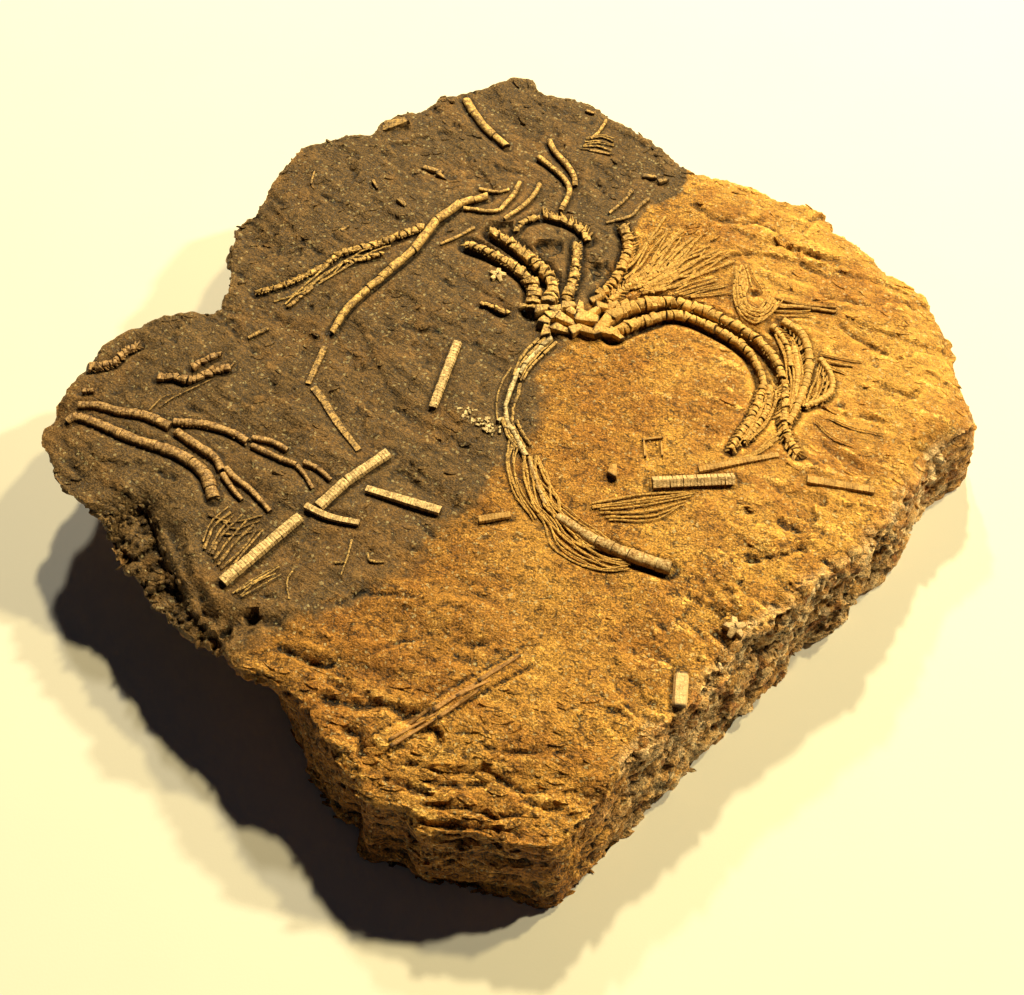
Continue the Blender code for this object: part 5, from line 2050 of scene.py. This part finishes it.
@dataclass(frozen=True)
class Drift:
    """Broken bits of one kind on the stone, in millimetres and degrees.

    Attributes:
        name: Its piece's name.
        kind: The shape of its bits.
        count: How many there are.
        where: The stone's marks that they keep to, each with its lowest and highest value.
        length: Their shortest and longest length.
        width: Their width as a share of their length, from and to.
        height: Their thickness as a share of their length, from and to.
        sunk: How much of their thickness is in the stone.
        bearing: The way that they lie.
        spread: How far they stray from it.
        tilt: How far they tilt.
    """

    name: str
    kind: Build
    count: int
    where: dict[str, Point]
    length: Point
    width: Point
    height: Point
    sunk: float
    bearing: float
    spread: float
    tilt: float

    def scatter(self, workshop: Workshop, stone: StoneSkin, finish: bpy.types.Material) -> None:
        """Lays the bits and dresses them as the stone."""
        draws = workshop.draws
        share = np.ones(len(stone.points))
        for mark, (low, high) in self.where.items():
            value = stone.marks[mark]
            share *= (value >= low) & (value <= high)
        at = draws.choice(len(share), self.count, p=share / share.sum())
        normal, middle = stone.normals[at], stone.points[at]
        turn = np.radians(draws.normal(self.bearing, self.spread, self.count))
        way = np.stack([np.cos(turn), np.sin(turn), np.zeros(self.count)], axis=1)
        normal = normal + draws.normal(0, math.radians(self.tilt), normal.shape)
        up = normal / np.linalg.norm(normal, axis=1, keepdims=True)
        along = way - up * np.einsum("ij,ij->i", way, up)[:, None]
        along /= np.linalg.norm(along, axis=1, keepdims=True)
        length = self.length[0] + (self.length[1] - self.length[0]) * draws.uniform(0, 1, self.count) ** 2.2
        half = length * draws.uniform(*self.width, self.count) / 2
        tall = length * draws.uniform(*self.height, self.count) / 2
        middle = middle + up * (tall * (1 - 2 * self.sunk))[:, None]
        marks = {mark: stone.marks[mark][at] for mark in ("wall", "deep", "broken", "east", "flaky")}
        marks["crest"] = draws.uniform(-0.3, 0.5, self.count)
        spots = Spots(
            middle, along, np.cross(up, along), up, np.stack([length, half, tall], axis=1),
            draws.uniform(-0.3, 0.3, self.count), np.zeros(self.count), marks,
        )
        relief = Relief()
        relief.add(workshop.shapes[self.kind], spots)
        piece = relief.piece(self.name, workshop.form, workshop.ochre)
        place_piece(piece, self.name, finish)


DRIFTS = (
    Drift("flakes_spray", Build.FLAKE, 260, {"spray": (0.25, 1)},
          (2.0, 7.0), (0.16, 0.35), (0.08, 0.16), 0.45, 43, 12, 8),
    Drift("flakes_right", Build.FLAKE, 420, {"east": (0.4, 1), "wall": (0, 0.2), "clear": (0.5, 1)},
          (2.0, 8.0), (0.25, 0.5), (0.05, 0.10), 0.5, -16, 18, 5),
    Drift("flakes_front", Build.FLAKE, 650, {"front": (0.3, 1), "wall": (0, 0.5), "clear": (0.9, 1)},
          (2.0, 9.0), (0.25, 0.5), (0.06, 0.13), 0.5, -10, 20, 7),
    Drift("flakes_swale", Build.FLAKE, 900,
          {"ochre": (0.6, 1), "east": (0, 0.5), "wall": (0, 0.3), "clear": (0.6, 1)},
          (1.2, 4.0), (0.25, 0.6), (0.06, 0.13), 0.5, -14, 40, 5),
    Drift("grains", Build.CHIP, 420, {"wall": (0, 0.3), "top": (0.5, 1), "clear": (0.25, 1)},
          (0.6, 1.5), (0.6, 1.0), (0.5, 0.9), 0.4, 0, 90, 15),
    Drift("flakes_slate", Build.FLAKE, 900,
          {"ochre": (0, 0.4), "wall": (0, 0.3), "top": (0.5, 1), "clear": (0.6, 1)},
          (1.4, 6.0), (0.2, 0.7), (0.07, 0.15), 0.45, 20, 50, 5),
    Drift("wall_rubble", Build.CHIP, 340,
          {"rubble": (0.5, 1)}, (2.5, 8), (0.5, 0.9), (0.4, 0.8), 0.6, 0, 60, 18),
    Drift("wall_slips", Build.FLAKE, 420,
          {"slip": (0.6, 1)}, (3, 8), (0.3, 0.6), (0.06, 0.12), 0.75, -90, 60, 6),
    Drift("ledge_rubble", Build.CHIP, 170, {"ledge": (0.2, 1), "top": (0.5, 1)},
          (1.6, 5.0), (0.5, 0.9), (0.35, 0.7), 0.4, 0, 80, 18),
)


# --------------------------------------------------------------------------- floor, lamps and camera


@dataclass(frozen=True)
class Lamp:
    """A soft round lamp: where it stands as seen from the slab, and the light that it lays on the floor."""

    name: str
    azimuth: float
    elevation: float
    glow: Colour
    distance: float = 1.6
    size: float = 0.09

    def hang(self, target: Vector) -> None:
        """Adds the lamp, turned to the target."""
        turn, rise = math.radians(self.azimuth), math.radians(self.elevation)
        way = Vector((math.cos(turn) * math.cos(rise), math.sin(turn) * math.cos(rise), math.sin(rise)))
        deselect()
        bpy.ops.object.light_add(type="AREA", location=target + way * self.distance)
        lamp = bpy.context.object
        lamp.name = self.name
        lamp.rotation_euler = way.to_track_quat("Z", "Y").to_euler()
        peak = max(self.glow)
        lamp.data.shape = "DISK"
        lamp.data.size = self.size
        lamp.data.color = tuple(part / peak for part in self.glow)
        lamp.data.energy = peak * (math.pi * self.distance) ** 2 / math.sin(rise)


@dataclass(frozen=True)
class Studio:
    """The pale floor, the lamps and the camera."""

    floor_size: float = 9.0
    paper: Colour = (0.86, 0.84, 0.76)
    shade: Colour = (0.012, 0.013, 0.017)
    target: tuple[float, float, float] = (0.0, -0.0375, 0.045)
    lit_place: tuple[float, float, float] = (0.0, -0.02, 0.03)
    elevation: float = 60.0
    distance: float = 0.490
    lens: float = 50.0
    lamps: tuple[Lamp, ...] = (
        Lamp("lamp_back", 85.0, 51.0, (0.60, 0.50, 0.28)),
        Lamp("lamp_back_low", 97.0, 42.0, (0.24, 0.22, 0.17)),
        Lamp("lamp_right", 38.0, 50.0, (0.42, 0.34, 0.16)),
        Lamp("lamp_right_low", 20.0, 40.0, (0.46, 0.40, 0.25)),
    )

    def build(self) -> None:
        """Lays the floor, hangs the lamps and sets the camera."""
        self._floor()
        for lamp in self.lamps:
            lamp.hang(Vector(self.lit_place))
        world = bpy.data.worlds.new("studio")
        world.use_nodes = True
        world.node_tree.nodes["Background"].inputs["Color"].default_value = (*self.shade, 1.0)
        bpy.context.scene.world = world
        bpy.context.scene.view_settings.view_transform = "Standard"
        self._camera()

    def _floor(self) -> None:
        """A wide plain sheet under the slab."""
        deselect()
        bpy.ops.mesh.primitive_plane_add(size=self.floor_size)
        floor = bpy.context.object
        floor.name = "floor"
        g = Graph("paper")
        tooth = g.noise(0.8, 2.0)
        colour = g.shaded(self.paper, 0.985 + 0.03 * g.noise(40.0, 3.0))
        floor.data.materials.append(g.finish(colour, 0.9, g.bump(tooth, 0.02), 0.2))
        floor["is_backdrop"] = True

    def _camera(self) -> None:
        """A camera at the viewing angle."""
        rise = math.radians(self.elevation)
        way = Vector((0.0, -math.cos(rise), math.sin(rise)))
        data = bpy.data.cameras.new("camera")
        data.lens = self.lens
        camera = bpy.data.objects.new("camera", data)
        camera.location = Vector(self.target) + way * self.distance
        camera.rotation_euler = way.to_track_quat("Z", "Y").to_euler()
        bpy.context.scene.collection.objects.link(camera)
        bpy.context.scene.camera = camera


def main() -> None:
    """Builds the slab and its relief, then the floor, the lamps and the camera."""
    logging.basicConfig(level=logging.INFO, format="%(message)s")
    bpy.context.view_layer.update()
    form = SlabForm()
    groups = (Crown(), Stem(), SideCrown(), BackPieces(), LooseColumns(), BuriedPieces())
    slab = Slab(form, [course for group in groups for course in group.courses()])
    slab.build()
    workshop = Workshop(form, slab.ochre_share, seed=5)
    for group in groups:
        group.build(workshop)
    for drift in DRIFTS:
        drift.scatter(workshop, slab.skin, slab.finish.material())
    Studio().build()


if __name__ == "__main__":
    main()
